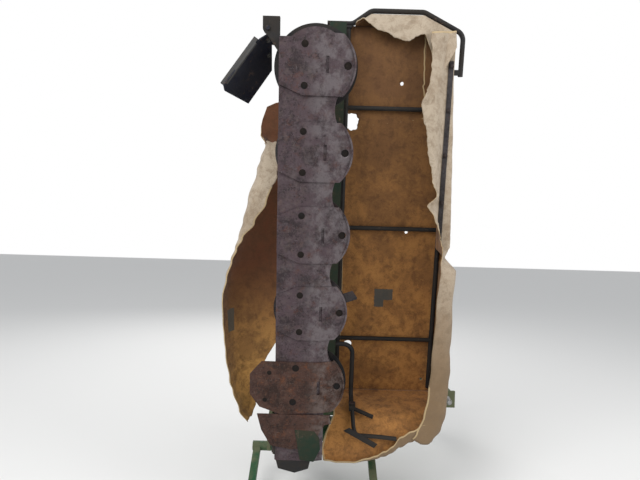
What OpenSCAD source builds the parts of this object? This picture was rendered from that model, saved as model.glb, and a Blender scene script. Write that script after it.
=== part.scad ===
// Rear mounted disc mower, folded up as it parks.
// The cutter unit is drawn lying in work, about the fold pivot, and then turned up.
// X points forward, Y to the left and Z up. The origin is on the floor under the middle.

/* [Cutter bar] */
// Distance between two disc centres
disc_pitch = 400; // [390:1:440]
// Distance from the fold pivot to the inner disc centre
inner_disc = 480; // [475:1:520]
// Height of the bar housing
bar_height = 60; // [50:1:66]
// Depth of the bar behind the disc line
bar_rear = 170; // [165:1:185]
// Radius of the rounded lobe in front of each disc
lobe_r = 165; // [155:1:172]
// Depth of the waist between two lobes, ahead of the disc line
waist = 95; // [85:1:105]
// Wall thickness of the bar housing
bar_wall = 9; // [6:0.5:12]
// Distance from the disc line to the ridge where the underside turns up
ridge_x = 46; // [40:1:60]
// Distance from the fold pivot to the inner end of the bar
bar_inner_end = 60; // [55:1:80]

/* [Skids] */
// Thickness of the skid plates
skid_t = 8; // [6:0.5:10]
// Half width of a skid along the bar
skid_half = 140; // [125:1:150]
// Radius of the rounded skid nose
skid_nose_r = 190; // [182:1:196]
// Height of the turned up skid nose
skid_lip = 50; // [40:1:58]
// Radius of the hole in the skid nose
skid_hole_r = 18; // [12:1:20]

/* [Discs] */
// Radius of the long ends of a disc
disc_r = 190; // [180:1:196]
// Half width of a disc across its flats
disc_half = 130; // [110:1:132]
// Radius that the knife tips sweep
knife_reach = 255; // [240:1:260]
// Width of a knife
knife_w = 50; // [40:1:52]
// Thickness of a knife
knife_t = 4; // [3:0.5:5]
// Height of the knives above the bar
knife_lift = 9; // [8:0.5:10]
// Height of the disc plate above the bar
disc_lift = 20; // [19:0.5:24]
// Radius of a disc spindle
spindle_r = 20; // [16:1:24]
// Gap between the edges of two discs as they pass
disc_clear = 10; // [7:0.5:14]
// Height of the swath drum on the outer disc
drum_h = 190; // [150:1:200]
// Turn of the discs from square to the bar as it parks
disc_turn = 20; // [0:1:30]

/* [Cover] */
// Width of the cover beam
beam_w = 90; // [70:1:100]
// Height of the cover beam
beam_h = 80; // [70:1:90]
// Place of the cover beam ahead of the disc line
beam_x = 110; // [105:1:120]
// Height of the underside of the cover beam above the fold pivot
beam_z = 60; // [55:1:80]
// Length of the cover beam past the outer disc centre
beam_past = 310; // [295:1:330]
// Height of the front guard hinge above the beam
hinge_lift = 45; // [40:1:60]
// Distance from the disc line to the front edge of the cover
cover_front = 790; // [760:1:820]
// Radius of the guard tubes
tube_r = 14; // [10:1:16]
// Thickness of the soft covers
cloth_t = 8; // [6:1:12]
// Distance from the fold pivot to the inner edge of the front cover
cover_start = 170; // [165:1:200]
// Distance from the fold pivot to the inner end of the front strip
strip_start = 1138; // [1000:1:1300]

/* [Fold] */
// Height of the fold pivot above the floor
pivot_h = 420; // [400:1:440]
// Angle that the cutter unit is folded up from work
fold_angle = 80; // [75:1:84]
// Radius of the fold journal
journal_r = 50; // [40:1:54]
// Running clearance round pins and journals
fit_gap = 0.4; // [0.2:0.1:0.6]

/* [Swing arm] */
// Place of the king pin ahead of the disc line
king_x = 880; // [870:1:900]
// Place of the king pin inboard of the fold pivot
king_y = 650; // [630:1:670]
// Radius of the king pin
king_r = 22; // [18:1:26]
// Width of the arm beam
arm_w = 110; // [90:1:120]
// Height of the arm beam
arm_h = 110; // [90:1:116]
// Distance from the fold pivot to the belt input shaft
input_y = 500; // [490:1:520]
// Height of the input shaft above the fold pivot
input_z = 80; // [75:1:90]
// Radius of the splined input stub
stub_r = 17.45; // [14:0.05:20]
// Distance from the fold pivot to the lift cylinder anchor
anchor_y = 600; // [590:1:620]
// Height of the lift cylinder anchor above the fold pivot
anchor_z = 200; // [190:1:220]
// Radius of the lift lever
lever_r = 140; // [138:1:144]
// Direction of the lift lever at rest, from the inboard side upwards
lever_angle = 66; // [62:1:70]

/* [Headstock] */
// Place of the lower link pins ahead of the disc line
hitch_x = 1000; // [990:1:1030]
// Distance from the fold pivot to the middle of the headstock
hitch_y = 950; // [940:1:1000]
// Height of the lower link pins above the fold pivot
hitch_z = 30; // [20:1:40]
// Distance between the shoulders of the lower link pins
hitch_span = 825; // [800:1:860]
// Radius of the lower link pins
link_pin_r = 14; // [11:0.5:16]
// Height of the top link pin above the lower link pins
mast_h = 610; // [560:1:640]
// Radius of the top link pin
top_pin_r = 12.7; // [10:0.1:14]

/* [Stands] */
// Radius of the cross tube of the outer stand
stand_tube_r = 30; // [24:1:32]
// Place of the rear foot behind the disc line
rear_foot_x = 330; // [325:1:360]
// Place of the front foot ahead of the disc line
front_foot_x = 410; // [405:1:440]
// Distance from the fold pivot to the feet of the outer stand
outer_foot_y = 240; // [220:1:245]
// Distance from the fold pivot to the foot of the head stand
head_foot_y = 1290; // [1270:1:1320]

/* [Hidden] */
$fn = 48;

paint_green = "#1f5a34";
bare_steel = "#6a6e72";
black_paint = "#26282b";
rusty_steel = "#6b4436";
cast_dark = "#3a3c3d";
canvas_tan = "#b8955c";

// Levels above the fold pivot with the cutter unit in work
ground_z = -pivot_h;
bar_bottom = ground_z + skid_t;
bar_top = bar_bottom + bar_height;
beam_top = beam_z + beam_h;
hinge_z = beam_top + hinge_lift;
hinge_x = beam_x;
disc_count = 5;
outer_disc = inner_disc + (disc_count - 1) * disc_pitch;
round_disc_r = disc_pitch - disc_r - disc_clear;
bar_outer_end = outer_disc + 120;
beam_start = 262;
beam_end = outer_disc + beam_past;
cover_end = outer_disc + 330;
hoop_y = beam_end + tube_r + 8;

// Pieces that only rest on one another stay this far apart
seat = 0.3;

// Front cover: its two rails, and the inner faces of its top and front
rail_x = hinge_x + 62;
front_rail_x = cover_front - cloth_t - seat - tube_r;
cover_top = hinge_z + tube_r + seat;
rib_places = [-524, -(524 + outer_disc - 132) / 2, 132 - outer_disc];

// Deepest belly of the rear cover, which is the rearmost place
rear_reach = 515;

// Middle of the footprint, which the origin lies under
mid_x = (hitch_x + 60 - rear_reach) / 2;
mid_y = (hitch_y + hitch_span / 2 + 90 - pivot_h - (outer_disc + skid_half) * cos(fold_angle)) / 2;

function disc_y(k) = -inner_disc - k * disc_pitch;

// Turns the cutter unit up from work to its folded place
module folded() {
  translate([-mid_x, -mid_y, pivot_h])
    rotate([-fold_angle, 0, 0])
      children();
}

// Places what stays level, drawn about the fold pivot
module level() {
  translate([-mid_x, -mid_y, pivot_h])
    children();
}

module block(x, y, z) {
  translate([x[0], y[0], z[0]])
    cube([x[1] - x[0], y[1] - y[0], z[1] - z[0]]);
}

// Round bar from p to q
module rod(p, q, r) {
  d = q - p;
  translate(p)
    rotate([0, acos(d[2] / norm(d)), atan2(d[1], d[0])])
      cylinder(r = r, h = norm(d));
}

// Box beam on the line from p to q, w wide and h high
module beam(p, q, w, h) {
  d = q - p;
  translate(p)
    rotate([0, acos(d[2] / norm(d)), atan2(d[1], d[0])])
      translate([-h / 2, -w / 2, 0])
        cube([h, w, norm(d)]);
}

// Box beam with closed ends and a hollow inside
module hollow_beam(p, q, w, h, wall) {
  along = (q - p) / norm(q - p);
  difference() {
    beam(p, q, w, h);
    beam(p + along * wall * 2, q - along * wall * 2, w - 2 * wall, h - 2 * wall);
  }
}

// Signed turn at point i of a flat path, and the length that its bend takes from each side
function unit(v) = v / norm(v);
function turn_at(p, i) =
  let (u = unit(p[i] - p[i - 1]), v = unit(p[i + 1] - p[i]))
  atan2(u[0] * v[1] - u[1] * v[0], u * v);
function cut_at(p, i, bend) = i == 0 || i == len(p) - 1 ? 0 : bend * tan(abs(turn_at(p, i)) / 2);

// Bent tube in the XY plane through a list of points, its bends rounded to one radius
module tube_run(p, r, bend) {
  lap = 0.02;
  for (i = [0 : len(p) - 2]) {
    u = unit(p[i + 1] - p[i]);
    from = p[i] + u * (cut_at(p, i, bend) - (i == 0 ? 0 : lap));
    to = p[i + 1] - u * (cut_at(p, i + 1, bend) - (i == len(p) - 2 ? 0 : lap));
    rod([from[0], from[1], 0], [to[0], to[1], 0], r + 0.05);
  }
  for (i = [1 : len(p) - 2]) {
    u = unit(p[i] - p[i - 1]);
    turn = turn_at(p, i);
    side = sign(turn) * [-u[1], u[0]];
    centre = p[i] - u * cut_at(p, i, bend) + side * bend;
    translate([centre[0], centre[1], 0])
      rotate([0, 0, atan2(-side[1], -side[0]) + min(0, turn)])
        rotate_extrude(angle = abs(turn))
          translate([bend, 0])
            circle(r = r);
  }
}

// Pin along X at a place in Y and Z
module pin_x(x, yz, r) {
  translate([x[0], yz[0], yz[1]])
    rotate([0, 90, 0])
      cylinder(r = r, h = x[1] - x[0]);
}

// Pin along Y at a place in X and Z
module pin_y(y, xz, r) {
  translate([xz[0], y[0], xz[1]])
    rotate([-90, 0, 0])
      cylinder(r = r, h = y[1] - y[0]);
}

// Plate across X, its outline drawn in Y and Z
module plate_x(x) {
  translate([x[0], 0, 0])
    rotate([90, 0, 90])
      linear_extrude(x[1] - x[0])
        children();
}

// Plate across Y, its outline drawn in X and Z
module plate_y(y) {
  translate([0, y[1], 0])
    rotate([90, 0, 0])
      linear_extrude(y[1] - y[0])
        children();
}

// Flat plate, its outline drawn in X and Y
module plate_z(z) {
  translate([0, 0, z[0]])
    linear_extrude(z[1] - z[0])
      children();
}

// Outline round two circles that a belt would follow
module belt_outline(p, r1, q, r2) {
  d = q - p;
  turn = atan2(d[1], d[0]);
  lean = acos((r1 - r2) / norm(d));
  sink = 0.6;
  translate(p) circle(r = r1);
  translate(q) circle(r = r2);
  polygon([
    p + (r1 - sink) * [cos(turn + lean), sin(turn + lean)],
    p + (r1 - sink) * [cos(turn - lean), sin(turn - lean)],
    q + (r2 - sink) * [cos(turn - lean), sin(turn - lean)],
    q + (r2 - sink) * [cos(turn + lean), sin(turn + lean)]
  ]);
}

// Soft panel of thickness t. Each section is [y, [[x, z], ...]] from edge to edge
function across(p, j) =
  let (d = p[min(j + 1, len(p) - 1)] - p[max(j - 1, 0)])
  [-d[1], d[0]] / norm(d);

module soft_panel(sections, t) {
  n = len(sections);
  m = len(sections[0][1]);
  k = n * m;
  one_face = [for (s = sections) for (p = s[1]) [p[0], s[0], p[1]]];
  other_face = [
    for (s = sections) for (j = [0 : m - 1])
      let (p = s[1][j] + t * across(s[1], j)) [p[0], s[0], p[1]]
  ];
  sheets = [
    for (i = [0 : n - 2]) for (j = [0 : m - 2])
      let (a = i * m + j)
      each [
        [a, a + 1, a + m + 1], [a, a + m + 1, a + m],
        [k + a, k + a + m + 1, k + a + 1], [k + a, k + a + m, k + a + m + 1]
      ]
  ];
  side_edges = [
    for (i = [0 : n - 2])
      let (a = i * m, b = a + m - 1)
      each [
        [a, k + a + m, k + a], [a, a + m, k + a + m],
        [b, k + b + m, b + m], [b, k + b, k + b + m]
      ]
  ];
  end_edges = [
    for (j = [0 : m - 2])
      let (b = (n - 1) * m + j)
      each [
        [j, k + j + 1, j + 1], [j, k + j, k + j + 1],
        [b, b + 1, k + b + 1], [b, k + b + 1, k + b]
      ]
  ];
  polyhedron(points = concat(one_face, other_face), faces = concat(sheets, side_edges, end_edges));
}

// Cutter bar

// Front of the bar: a lobe at each disc and a hollow between two
module bar_outline(inset) {
  half = disc_pitch / 2;
  step = lobe_r - waist;
  hollow_x = (half * half - step * step) / (2 * step);
  hollow_r = hollow_x - waist + inset;
  front = lobe_r * hollow_x / norm([hollow_x, half]) - 2;
  for (k = [0 : disc_count - 1])
    translate([0, disc_y(k)])
      circle(r = lobe_r - inset, $fn = 64);
  difference() {
    union() {
      translate([inset - bar_rear, inset - bar_outer_end])
        square([bar_rear + 60 - inset, bar_outer_end - bar_inner_end - 2 * inset]);
      translate([0, disc_y(disc_count - 1)])
        square([front, (disc_count - 1) * disc_pitch]);
      translate([0, -inner_disc])
        square([waist - 10 - inset, inner_disc - bar_inner_end - inset]);
    }
    for (k = [0 : disc_count - 2])
      translate([hollow_x, disc_y(k) - half])
        circle(r = hollow_r, $fn = 64);
  }
}

// Cross section of the bar in X and Z, with its underside turned up in front
module bar_section(inset) {
  rise = (lobe_r - ridge_x) * 0.24;
  polygon([
    [inset - bar_rear, bar_bottom + 6 + inset],
    [inset - bar_rear + 6, bar_bottom + inset],
    [ridge_x, bar_bottom + inset],
    [lobe_r, bar_bottom + rise + inset],
    [lobe_r, bar_top - 12 - inset],
    [lobe_r - 40, bar_top - inset],
    [12 + inset - bar_rear, bar_top - inset],
    [inset - bar_rear, bar_top - 12 - inset]
  ]);
}

module bar_body(inset) {
  intersection() {
    plate_z([bar_bottom, bar_top + 10])
      bar_outline(inset);
    plate_y([-bar_outer_end - lobe_r, 0])
      bar_section(inset);
  }
}

module cutter_bar() {
  boss_r = 55;
  color(rusty_steel)
    folded()
      difference() {
        union() {
          difference() {
            bar_body(0);
            bar_body(bar_wall);
          }
          for (k = [0 : disc_count - 1])
            translate([0, disc_y(k), bar_bottom + 3])
              cylinder(r = boss_r, h = bar_height + 3);
        }
        for (k = [0 : disc_count - 1])
          translate([0, disc_y(k), bar_top - 34])
            cylinder(r = spindle_r + fit_gap, h = 60);
      }
}

// Outline of a skid about its own disc
module skid_outline(rear, rear_half) {
  intersection() {
    circle(r = skid_nose_r, $fn = 64);
    translate([-20, -skid_half])
      square([skid_nose_r + 40, 2 * skid_half]);
  }
  polygon([
    [0, skid_half], [-60, skid_half], [-rear, rear_half],
    [-rear, -rear_half], [-60, -skid_half], [0, -skid_half]
  ]);
}

// Bent plate section of a skid in X and Z
module skid_section(rear, t) {
  rise = (skid_nose_r - ridge_x) * 0.24;
  polygon([
    [-rear, ground_z], [ridge_x, ground_z], [skid_nose_r, ground_z + rise],
    [skid_nose_r, ground_z + rise + t], [ridge_x, ground_z + t], [-rear, ground_z + t]
  ]);
}

module nose_lip() {
  rise = (skid_nose_r - ridge_x) * 0.24;
  intersection() {
    difference() {
      translate([0, 0, ground_z])
        cylinder(r = skid_nose_r, h = skid_lip, $fn = 64);
      translate([0, 0, ground_z - 1])
        cylinder(r = skid_nose_r - skid_t, h = skid_lip + 2, $fn = 64);
    }
    block([130, skid_nose_r], [-skid_half, skid_half], [ground_z + rise - 12, ground_z + skid_lip]);
  }
}

// Slot and dished hole that each skid has
module skid_cuts() {
  slot = 38;
  block([ridge_x + 1, ridge_x + 16], [-slot, slot], [ground_z - 1, ground_z + 30]);
  translate([151, 0, ground_z])
    cylinder(r = skid_hole_r, h = 60);
  translate([151, 0, ground_z + 20])
    cylinder(r1 = skid_hole_r + 16, r2 = skid_hole_r, h = 9);
}

module one_skid() {
  difference() {
    union() {
      intersection() {
        plate_z([ground_z - 1, ground_z + 60])
          skid_outline(bar_rear, 92);
        plate_y([-skid_half - 1, skid_half + 1])
          skid_section(bar_rear, skid_t);
      }
      nose_lip();
    }
    skid_cuts();
  }
}

module skids() {
  color(rusty_steel)
    folded()
      for (k = [1 : disc_count - 2])
        translate([0, disc_y(k), 0])
          one_skid();
}

// Wider shoe under the inner disc, with the plate that guards the gearbox
module inner_shoe() {
  rear = 300;
  color(rusty_steel)
    folded() {
      translate([0, disc_y(0), 0])
        difference() {
          union() {
            intersection() {
              plate_z([ground_z - 1, ground_z + 60])
                union() {
                  skid_outline(bar_rear, skid_half);
                  polygon([
                    [0, skid_half], [-140, skid_half + 10], [-250, 110], [-rear, 40],
                    [-rear, -70], [-240, -skid_half], [0, -skid_half]
                  ]);
                }
              plate_y([-skid_half - 30, skid_half + 30])
                skid_section(rear, skid_t);
            }
            nose_lip();
          }
          skid_cuts();
        }
      plate_z([bar_bottom - skid_t, bar_bottom])
        polygon([
          [-262, -inner_disc + skid_half + 12], [-240, -240], [-190, -150],
          [-75, -130], [60, -215], [120, -inner_disc + skid_half + 12]
        ]);
    }
}

// Shoe under the outer disc, cut at a slant
module outer_shoe() {
  color(rusty_steel)
    folded()
      translate([0, disc_y(disc_count - 1), 0])
        difference() {
          one_skid();
          plate_z([ground_z - 2, ground_z + 80])
            polygon([
              [-bar_rear - 10, -105], [60, -skid_half], [skid_nose_r, -skid_half - 1],
              [skid_nose_r, -240], [-bar_rear - 10, -240]
            ]);
        }
}

// Discs

// Turn of the long axis of disc k from straight ahead
function long_axis(k) = k % 2 == 0 ? 90 + disc_turn : -disc_turn;

// Swing of knife i of disc k: each hangs from its bolt towards the inner end, but one is stuck straight out
function knife_swing(k, i) = k == 1 && i == 0 ? 0 : 90 - long_axis(k) - 180 * i;

// Knife bolted under the long end of a disc, swung about its bolt
module knife(swing) {
  bolt_x = disc_r - 28;
  tip = knife_reach - bolt_x;
  translate([bolt_x, 0, bar_top + knife_lift])
    rotate([0, 0, swing]) {
      linear_extrude(knife_t)
        polygon([
          [-20, -knife_w / 2], [tip - 16, -knife_w / 2], [tip - 4, knife_w / 2 - 6],
          [tip - 10, knife_w / 2], [-20, knife_w / 2]
        ]);
      cylinder(r = 13, h = disc_lift + 14 - knife_lift);
    }
}

// Spindle and hub that carry a disc
module disc_hub() {
  translate([0, 0, bar_top - 30])
    cylinder(r = spindle_r, h = 80);
  translate([0, 0, bar_top + 12])
    cylinder(r = 46, h = disc_lift + 10);
}

module oval_plate() {
  intersection() {
    translate([0, 0, bar_top + disc_lift])
      rotate_extrude($fn = 64)
        polygon([
          [0, 0], [disc_r, 0], [disc_r, 6], [disc_r - 46, 12],
          [92, 26], [62, 44], [0, 48]
        ]);
    block([-disc_r, disc_r], [-disc_half, disc_half], [bar_top, bar_top + 120]);
  }
}

// Round plate with a drum that carries the crop inwards
module drum_plate(drum_r, h) {
  fins = 4;
  fin_out = 20;
  shell = 5;
  core = 28;
  translate([0, 0, bar_top + disc_lift])
    difference() {
      rotate_extrude($fn = 64)
        polygon([
          [0, 0], [round_disc_r, 0], [round_disc_r, 5], [drum_r + 34, 18],
          [drum_r, 46], [drum_r - 12, h - 20], [drum_r - 22, h], [0, h]
        ]);
      rotate_extrude($fn = 64)
        polygon([
          [core, shell + 8], [drum_r - shell, shell + 8], [drum_r - shell, 46],
          [drum_r - 12 - shell, h - 24], [core, h - 24]
        ]);
    }
  for (i = [0 : fins - 1])
    rotate([0, 0, 45 + i * 360 / fins])
      block([drum_r - 12 - shell / 2, drum_r + fin_out], [-5, 5], [bar_top + disc_lift + 10, bar_top + disc_lift + h - 30]);
}

// Disc k, counted from the inner end, its long axis turned by a quarter from the next one
module disc(k) {
  last = disc_count - 1;
  color(k == last || k == 0 ? black_paint : bare_steel)
    folded()
      translate([0, disc_y(k), 0])
        rotate([0, 0, long_axis(k)]) {
          disc_hub();
          if (k == last) drum_plate(128, drum_h);
          else if (k == 0) drum_plate(112, drum_h - 40);
          else oval_plate();
          for (i = [0, 1])
            rotate([0, 0, 180 * i])
              knife(knife_swing(k, i));
        }
}

module disc_1() { disc(0); }
module disc_2() { disc(1); }
module disc_3() { disc(2); }
module disc_4() { disc(3); }
module disc_5() { disc(4); }

// Gearbox and hanger at the inner end

guard_x = [-185, -35];
guard_r = 150;
journal_x = [60, 300];
lever_gap = 2;
cylinder_x = [0, 40];
hub_r = 58;

module bar_gearbox() {
  riser_x = [lever_gap, cylinder_x[1] - lever_gap];
  color(cast_dark)
    folded() {
      block([-190, 48], [-212, -bar_inner_end - 4], [bar_top + seat, bar_top + 175]);
      pin_x([-196, -190], [-136, bar_top + 90], 52);
      difference() {
        union() {
          plate_x(riser_x)
            polygon([
              [-180, bar_top + 100], [-70, bar_top + 100], [-30, -50], [48, -24],
              [40, 36], [-50, 30], [-120, -60]
            ]);
          pin_x([-22, 60], [0, 0], hub_r);
        }
        pin_x([-23, 62], [0, 0], 30);
      }
    }
}

// Side plates of the hanger, from the bar up past the pivot to the cover beam
front_plate = [62, 80];
rear_plate = [-216, -197];
cross_end = 168;

module hanger_side(x, pivot) {
  foot_z = bar_top + 4;
  plate_x(x)
    difference() {
      union() {
        polygon([
          [-230, foot_z], [-70, foot_z], [-60, bar_top + 110], pivot ? [-20, -60] : [-165, -100],
          pivot ? [20, 60] : [-162, 30], [-cross_end, beam_top], [-beam_start, beam_top],
          [-beam_start, beam_z - 4], [-300, 40], [-beam_start, -180]
        ]);
        if (pivot) circle(r = 78);
      }
      translate([-215, -90])
        circle(r = 34);
    }
}

module lever_plate(x) {
  side = 58;
  root = 76;
  lever_turn = lever_angle + fold_angle;
  slot_half = 22;
  plate_x(x)
    difference() {
      union() {
        circle(r = 84);
        rotate([0, 0, lever_turn])
          polygon([
            [10, -root], [lever_r + 30, -side], [lever_r + 58, -20], [lever_r + 58, 30],
            [lever_r + 20, side], [10, root]
          ]);
      }
      circle(r = hub_r + seat);
      rotate([0, 0, lever_turn]) {
        translate([lever_r - 33, 0]) circle(r = slot_half);
        translate([lever_r + 8, 0]) circle(r = slot_half);
        translate([lever_r - 33, -slot_half]) square([41, 2 * slot_half]);
      }
    }
}

module hanger() {
  retainer = 15;
  color(paint_green)
    folded() {
      hanger_side(front_plate, true);
      hanger_side(rear_plate, false);
      pin_x(journal_x, [0, 0], journal_r);
      pin_x([journal_x[1] + 1, journal_x[1] + 1 + retainer], [0, 0], journal_r + 16);
      pin_x([journal_x[1] - 2, journal_x[1] + 7 + retainer], [0, 0], 26);
      block([rear_plate[0], front_plate[1]], [-beam_start, -cross_end], [beam_z, beam_top]);
      lever_plate([cylinder_x[0] - lever_gap - 12, cylinder_x[0] - lever_gap]);
      lever_plate([cylinder_x[1] + lever_gap, cylinder_x[1] + lever_gap + 12]);
    }
}

// Cover

lug_places = [-420, -(420 + outer_disc + 120) / 2, -outer_disc - 120];

module cover_beam() {
  wall = 5;
  lug = 16;
  inner_end = -beam_start - seat;
  side = [beam_x - beam_w / 2, beam_x + beam_w / 2];
  color(paint_green)
    folded() {
      difference() {
        block(side, [-beam_end, inner_end], [beam_z, beam_top]);
        block([side[0] + wall, side[1] - wall], [wall - beam_end, inner_end - wall], [beam_z + wall, beam_top - wall]);
      }
      for (y = lug_places)
        difference() {
          plate_y([y - lug / 2, y + lug / 2])
            union() {
              translate([hinge_x, hinge_z]) circle(r = 20);
              translate([hinge_x - 20, beam_top]) square([40, hinge_lift]);
            }
          pin_y([y - lug, y + lug], [hinge_x, hinge_z], 10 + fit_gap);
        }
    }
}

// Face of the inner curtain that its tube bears on
curtain_y = 168;

// Tube that holds the soft cover out at the inner end, and its lower bow
module inner_tube() {
  x = beam_x + beam_w / 2;
  run_x = 262;
  tube_y = -curtain_y - tube_r - seat - 1;
  tube_z = beam_z + 20;
  join_y = -340;
  bow_z = -70;
  bend = 60;
  color(black_paint)
    folded() {
      translate([0, 0, tube_z])
        tube_run([[x + seat, rib_places[0]], [run_x, rib_places[0]], [run_x, join_y]], tube_r, bend);
      translate([run_x, 0, 0])
        rotate([90, 0, 90])
          tube_run([[join_y, tube_z], [tube_y, tube_z], [tube_y, bow_z]], tube_r, bend);
      block([run_x - 18, run_x + 18], [tube_y - 20, tube_y + tube_r - 1], [bow_z - 20, bow_z + 16]);
      rod([run_x, tube_y, bow_z - 2], [run_x + 118, tube_y + 20, bow_z - 64], tube_r - 2);
    }
}

// Curtain that hangs at the inner end
module inner_canvas() {
  y = -curtain_y;
  t = cloth_t + 2;
  reach = 560;
  color(canvas_tan)
    folded()
      plate_x([front_plate[1] + seat, reach])
        polygon([
          [y, beam_top - 20], [y + t, beam_top - 20], [y + t, -70], [y + 48, -110], [y + 198, -176],
          [y + 198, -186], [y + 42, -120], [y, -74]
        ]);
}

// Rear curtain, which hangs from the beam and bellies out behind
// Columns: share of its length from the inner end, depth of the belly, height of the hem, tuck of the hem
rear_start = 190;
rear_bellies = [
  [1, 250, -40, 12], [0.85, 280, -62, 50], [0.65, 335, -92, 90],
  [0.46, 430, -100, 60], [0.32, rear_reach, -100, 20], [0.14, 505, -80, 10], [0, 450, -44, 10]
];

module rear_canvas() {
  top = beam_top + seat + cloth_t;
  beam_rear = beam_x - beam_w / 2;
  last = cover_end - 60 - rear_start;
  color(canvas_tan)
    folded()
      soft_panel([
        for (s = rear_bellies)
          let (belly = s[1], drop = s[2])
          [-rear_start - s[0] * last, [
            [beam_rear + 22, top], [beam_rear - 5, top], [-belly * 0.54, top],
            [-belly * 0.88, top - 44], [-belly, drop + 118], [-belly + s[3], drop]
          ]]
      ], cloth_t);
}

// Front guard: hinge forks and frame tubes
module front_frame() {
  fork = 6;
  gap = 9;
  color(black_paint)
    folded() {
      for (y = lug_places) {
        for (side = [-gap - fork, gap])
          plate_y([y + side, y + side + fork])
            union() {
              translate([hinge_x, hinge_z]) circle(r = 18);
              translate([hinge_x, hinge_z - 12]) square([rail_x - hinge_x, 24]);
            }
        pin_y([y - gap - fork - 4, y + gap + fork + 4], [hinge_x, hinge_z], 10);
      }
      pin_y([hoop_plate + 12 + seat, -cover_start - 40], [rail_x, hinge_z], tube_r);
      pin_y([-cover_end + 60, -cover_start - 30], [front_rail_x, hinge_z], tube_r);
      for (y = rib_places)
        rod([rail_x, y, hinge_z], [front_rail_x, y, hinge_z], tube_r - 1);
    }
}

strip_t = 6;
strip_x = [front_rail_x - 14, front_rail_x + 14];
hoop_plate = -hoop_y + tube_r - 2;

// Inner face of the cover where it wraps under the front rail, and the face of the strip that bears on it
// The cover's soft panel is a tenth thinner where it turns under
wrap_z = hinge_z - tube_r - seat;
strip_z = wrap_z - 0.9 * cloth_t;

// Steel strip that clamps the cover from below, along the outer half of the front rail
module front_strip() {
  color(bare_steel)
    folded()
      block(strip_x, [-outer_disc - 140, -strip_start], [strip_z - strip_t, strip_z]);
}

// Top and front of the soft cover
// Columns: share of its length from the inner end, wrapped under the rail or not, height and tuck of the hem
strip_share = (strip_start - 20 - cover_start) / (cover_end - 40 - cover_start);
front_hems = [
  [1, true, 10, 40], [0.6, true, -40, 60], [strip_share, true, -110, 90],
  [strip_share - 0.06, false, -140, 100], [0, false, -160, 130]
];

module front_canvas() {
  inner_front = cover_front - cloth_t;
  start = hinge_x + 30;
  last = cover_end - 40 - cover_start;
  wrap_x = strip_x[0] - cloth_t - 6;
  color(canvas_tan)
    folded()
      soft_panel([
        for (s = front_hems)
          let (wrapped = s[1], hem = s[2], tuck = s[3])
          [-cover_start - s[0] * last, [
            [start, cover_top], [front_rail_x + 6, cover_top], [inner_front, hinge_z + 6],
            [inner_front, wrapped ? wrap_z : hinge_z - 60],
            wrapped ? [wrap_x, wrap_z] : [inner_front - tuck * 0.2, (hinge_z + hem) / 2 - 20],
            [(wrapped ? wrap_x + 20 : inner_front) - tuck, hem]
          ]]
      ], cloth_t);
}

// Round bow that guards the outer end
module outer_hoop() {
  z = hinge_z;
  clamp_y = outer_disc + 65;
  clamp_x = cover_front - seat;
  run_x = clamp_x + tube_r + 26;
  color(black_paint)
    folded() {
      block([rail_x - 24, rail_x + 20], [hoop_plate, hoop_plate + 12], [z - 20, z + 10]);
      block([clamp_x, run_x - 5], [-clamp_y - 30, -clamp_y], [z - 10, z + 4]);
      translate([0, 0, z])
        tube_run([
          [hinge_x - 60, -hoop_y], [rail_x + 24, -hoop_y], [300, -hoop_y - 72], [600, -hoop_y - 72],
          [run_x, -hoop_y + 40], [run_x, -clamp_y + 6]
        ], tube_r, 60);
    }
}

// Swath board and the bracket that carries its pivot
board_pivot = [-225, -outer_disc - 160];
board_turn = 127;
board_lean = 20;
ear_t = 14;
ear_high = 200;

module board_bracket() {
  pivot_r = 10 + fit_gap;
  foot_z = [bar_top - 32, bar_top - 4];
  color(black_paint)
    folded()
      difference() {
        union() {
          plate_z(foot_z)
            union() {
              translate(board_pivot) circle(r = 24);
              polygon([
                [-bar_rear - seat, -bar_outer_end + 70], [-bar_rear - seat, board_pivot[1] - 52],
                [board_pivot[0] - 24, board_pivot[1] - 52], [board_pivot[0] - 24, board_pivot[1]]
              ]);
            }
          block([board_pivot[0] - 24, -bar_rear - 20], [board_pivot[1] - 52, board_pivot[1] - 40], [foot_z[0], bar_top + ear_high + ear_t]);
          plate_z([bar_top + ear_high, bar_top + ear_high + ear_t])
            union() {
              translate(board_pivot) circle(r = 24);
              translate([board_pivot[0] - 24, board_pivot[1] - 52]) square([48, 52]);
            }
        }
        translate([board_pivot[0], board_pivot[1], foot_z[0] - 1])
          cylinder(r = pivot_r, h = ear_high + ear_t + 40);
      }
}

module swath_board() {
  board_t = 8;
  lip = 26;
  lip_z = ground_z + 60;
  lean_z = bar_top + knife_lift;
  color(black_paint)
    folded()
      translate([board_pivot[0], board_pivot[1], 0]) {
        translate([0, 0, bar_top - 40])
          cylinder(r = 10, h = ear_high + ear_t + 52);
        translate([0, 0, bar_top + 20])
          cylinder(r = 20, h = ear_high - 26);
        rotate([0, 0, board_turn])
          translate([0, 0, lean_z])
            rotate([board_lean, 0, 0])
              translate([0, 0, -lean_z]) {
                plate_y([-board_t / 2, board_t / 2])
                  polygon([
                    [12, bar_top + 60], [12, bar_top + 24], [60, lip_z], [330, lip_z - 20],
                    [350, lip_z + 20], [330, bar_top + 250], [120, bar_top + 240]
                  ]);
                block([66, 334], [0, lip], [lip_z - 8, lip_z - 2]);
              }
      }
}

// Swing arm

stand_yz = [170, -190];
tube_out = 42;
cross_y = 560;
cross_z = -60;

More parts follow.
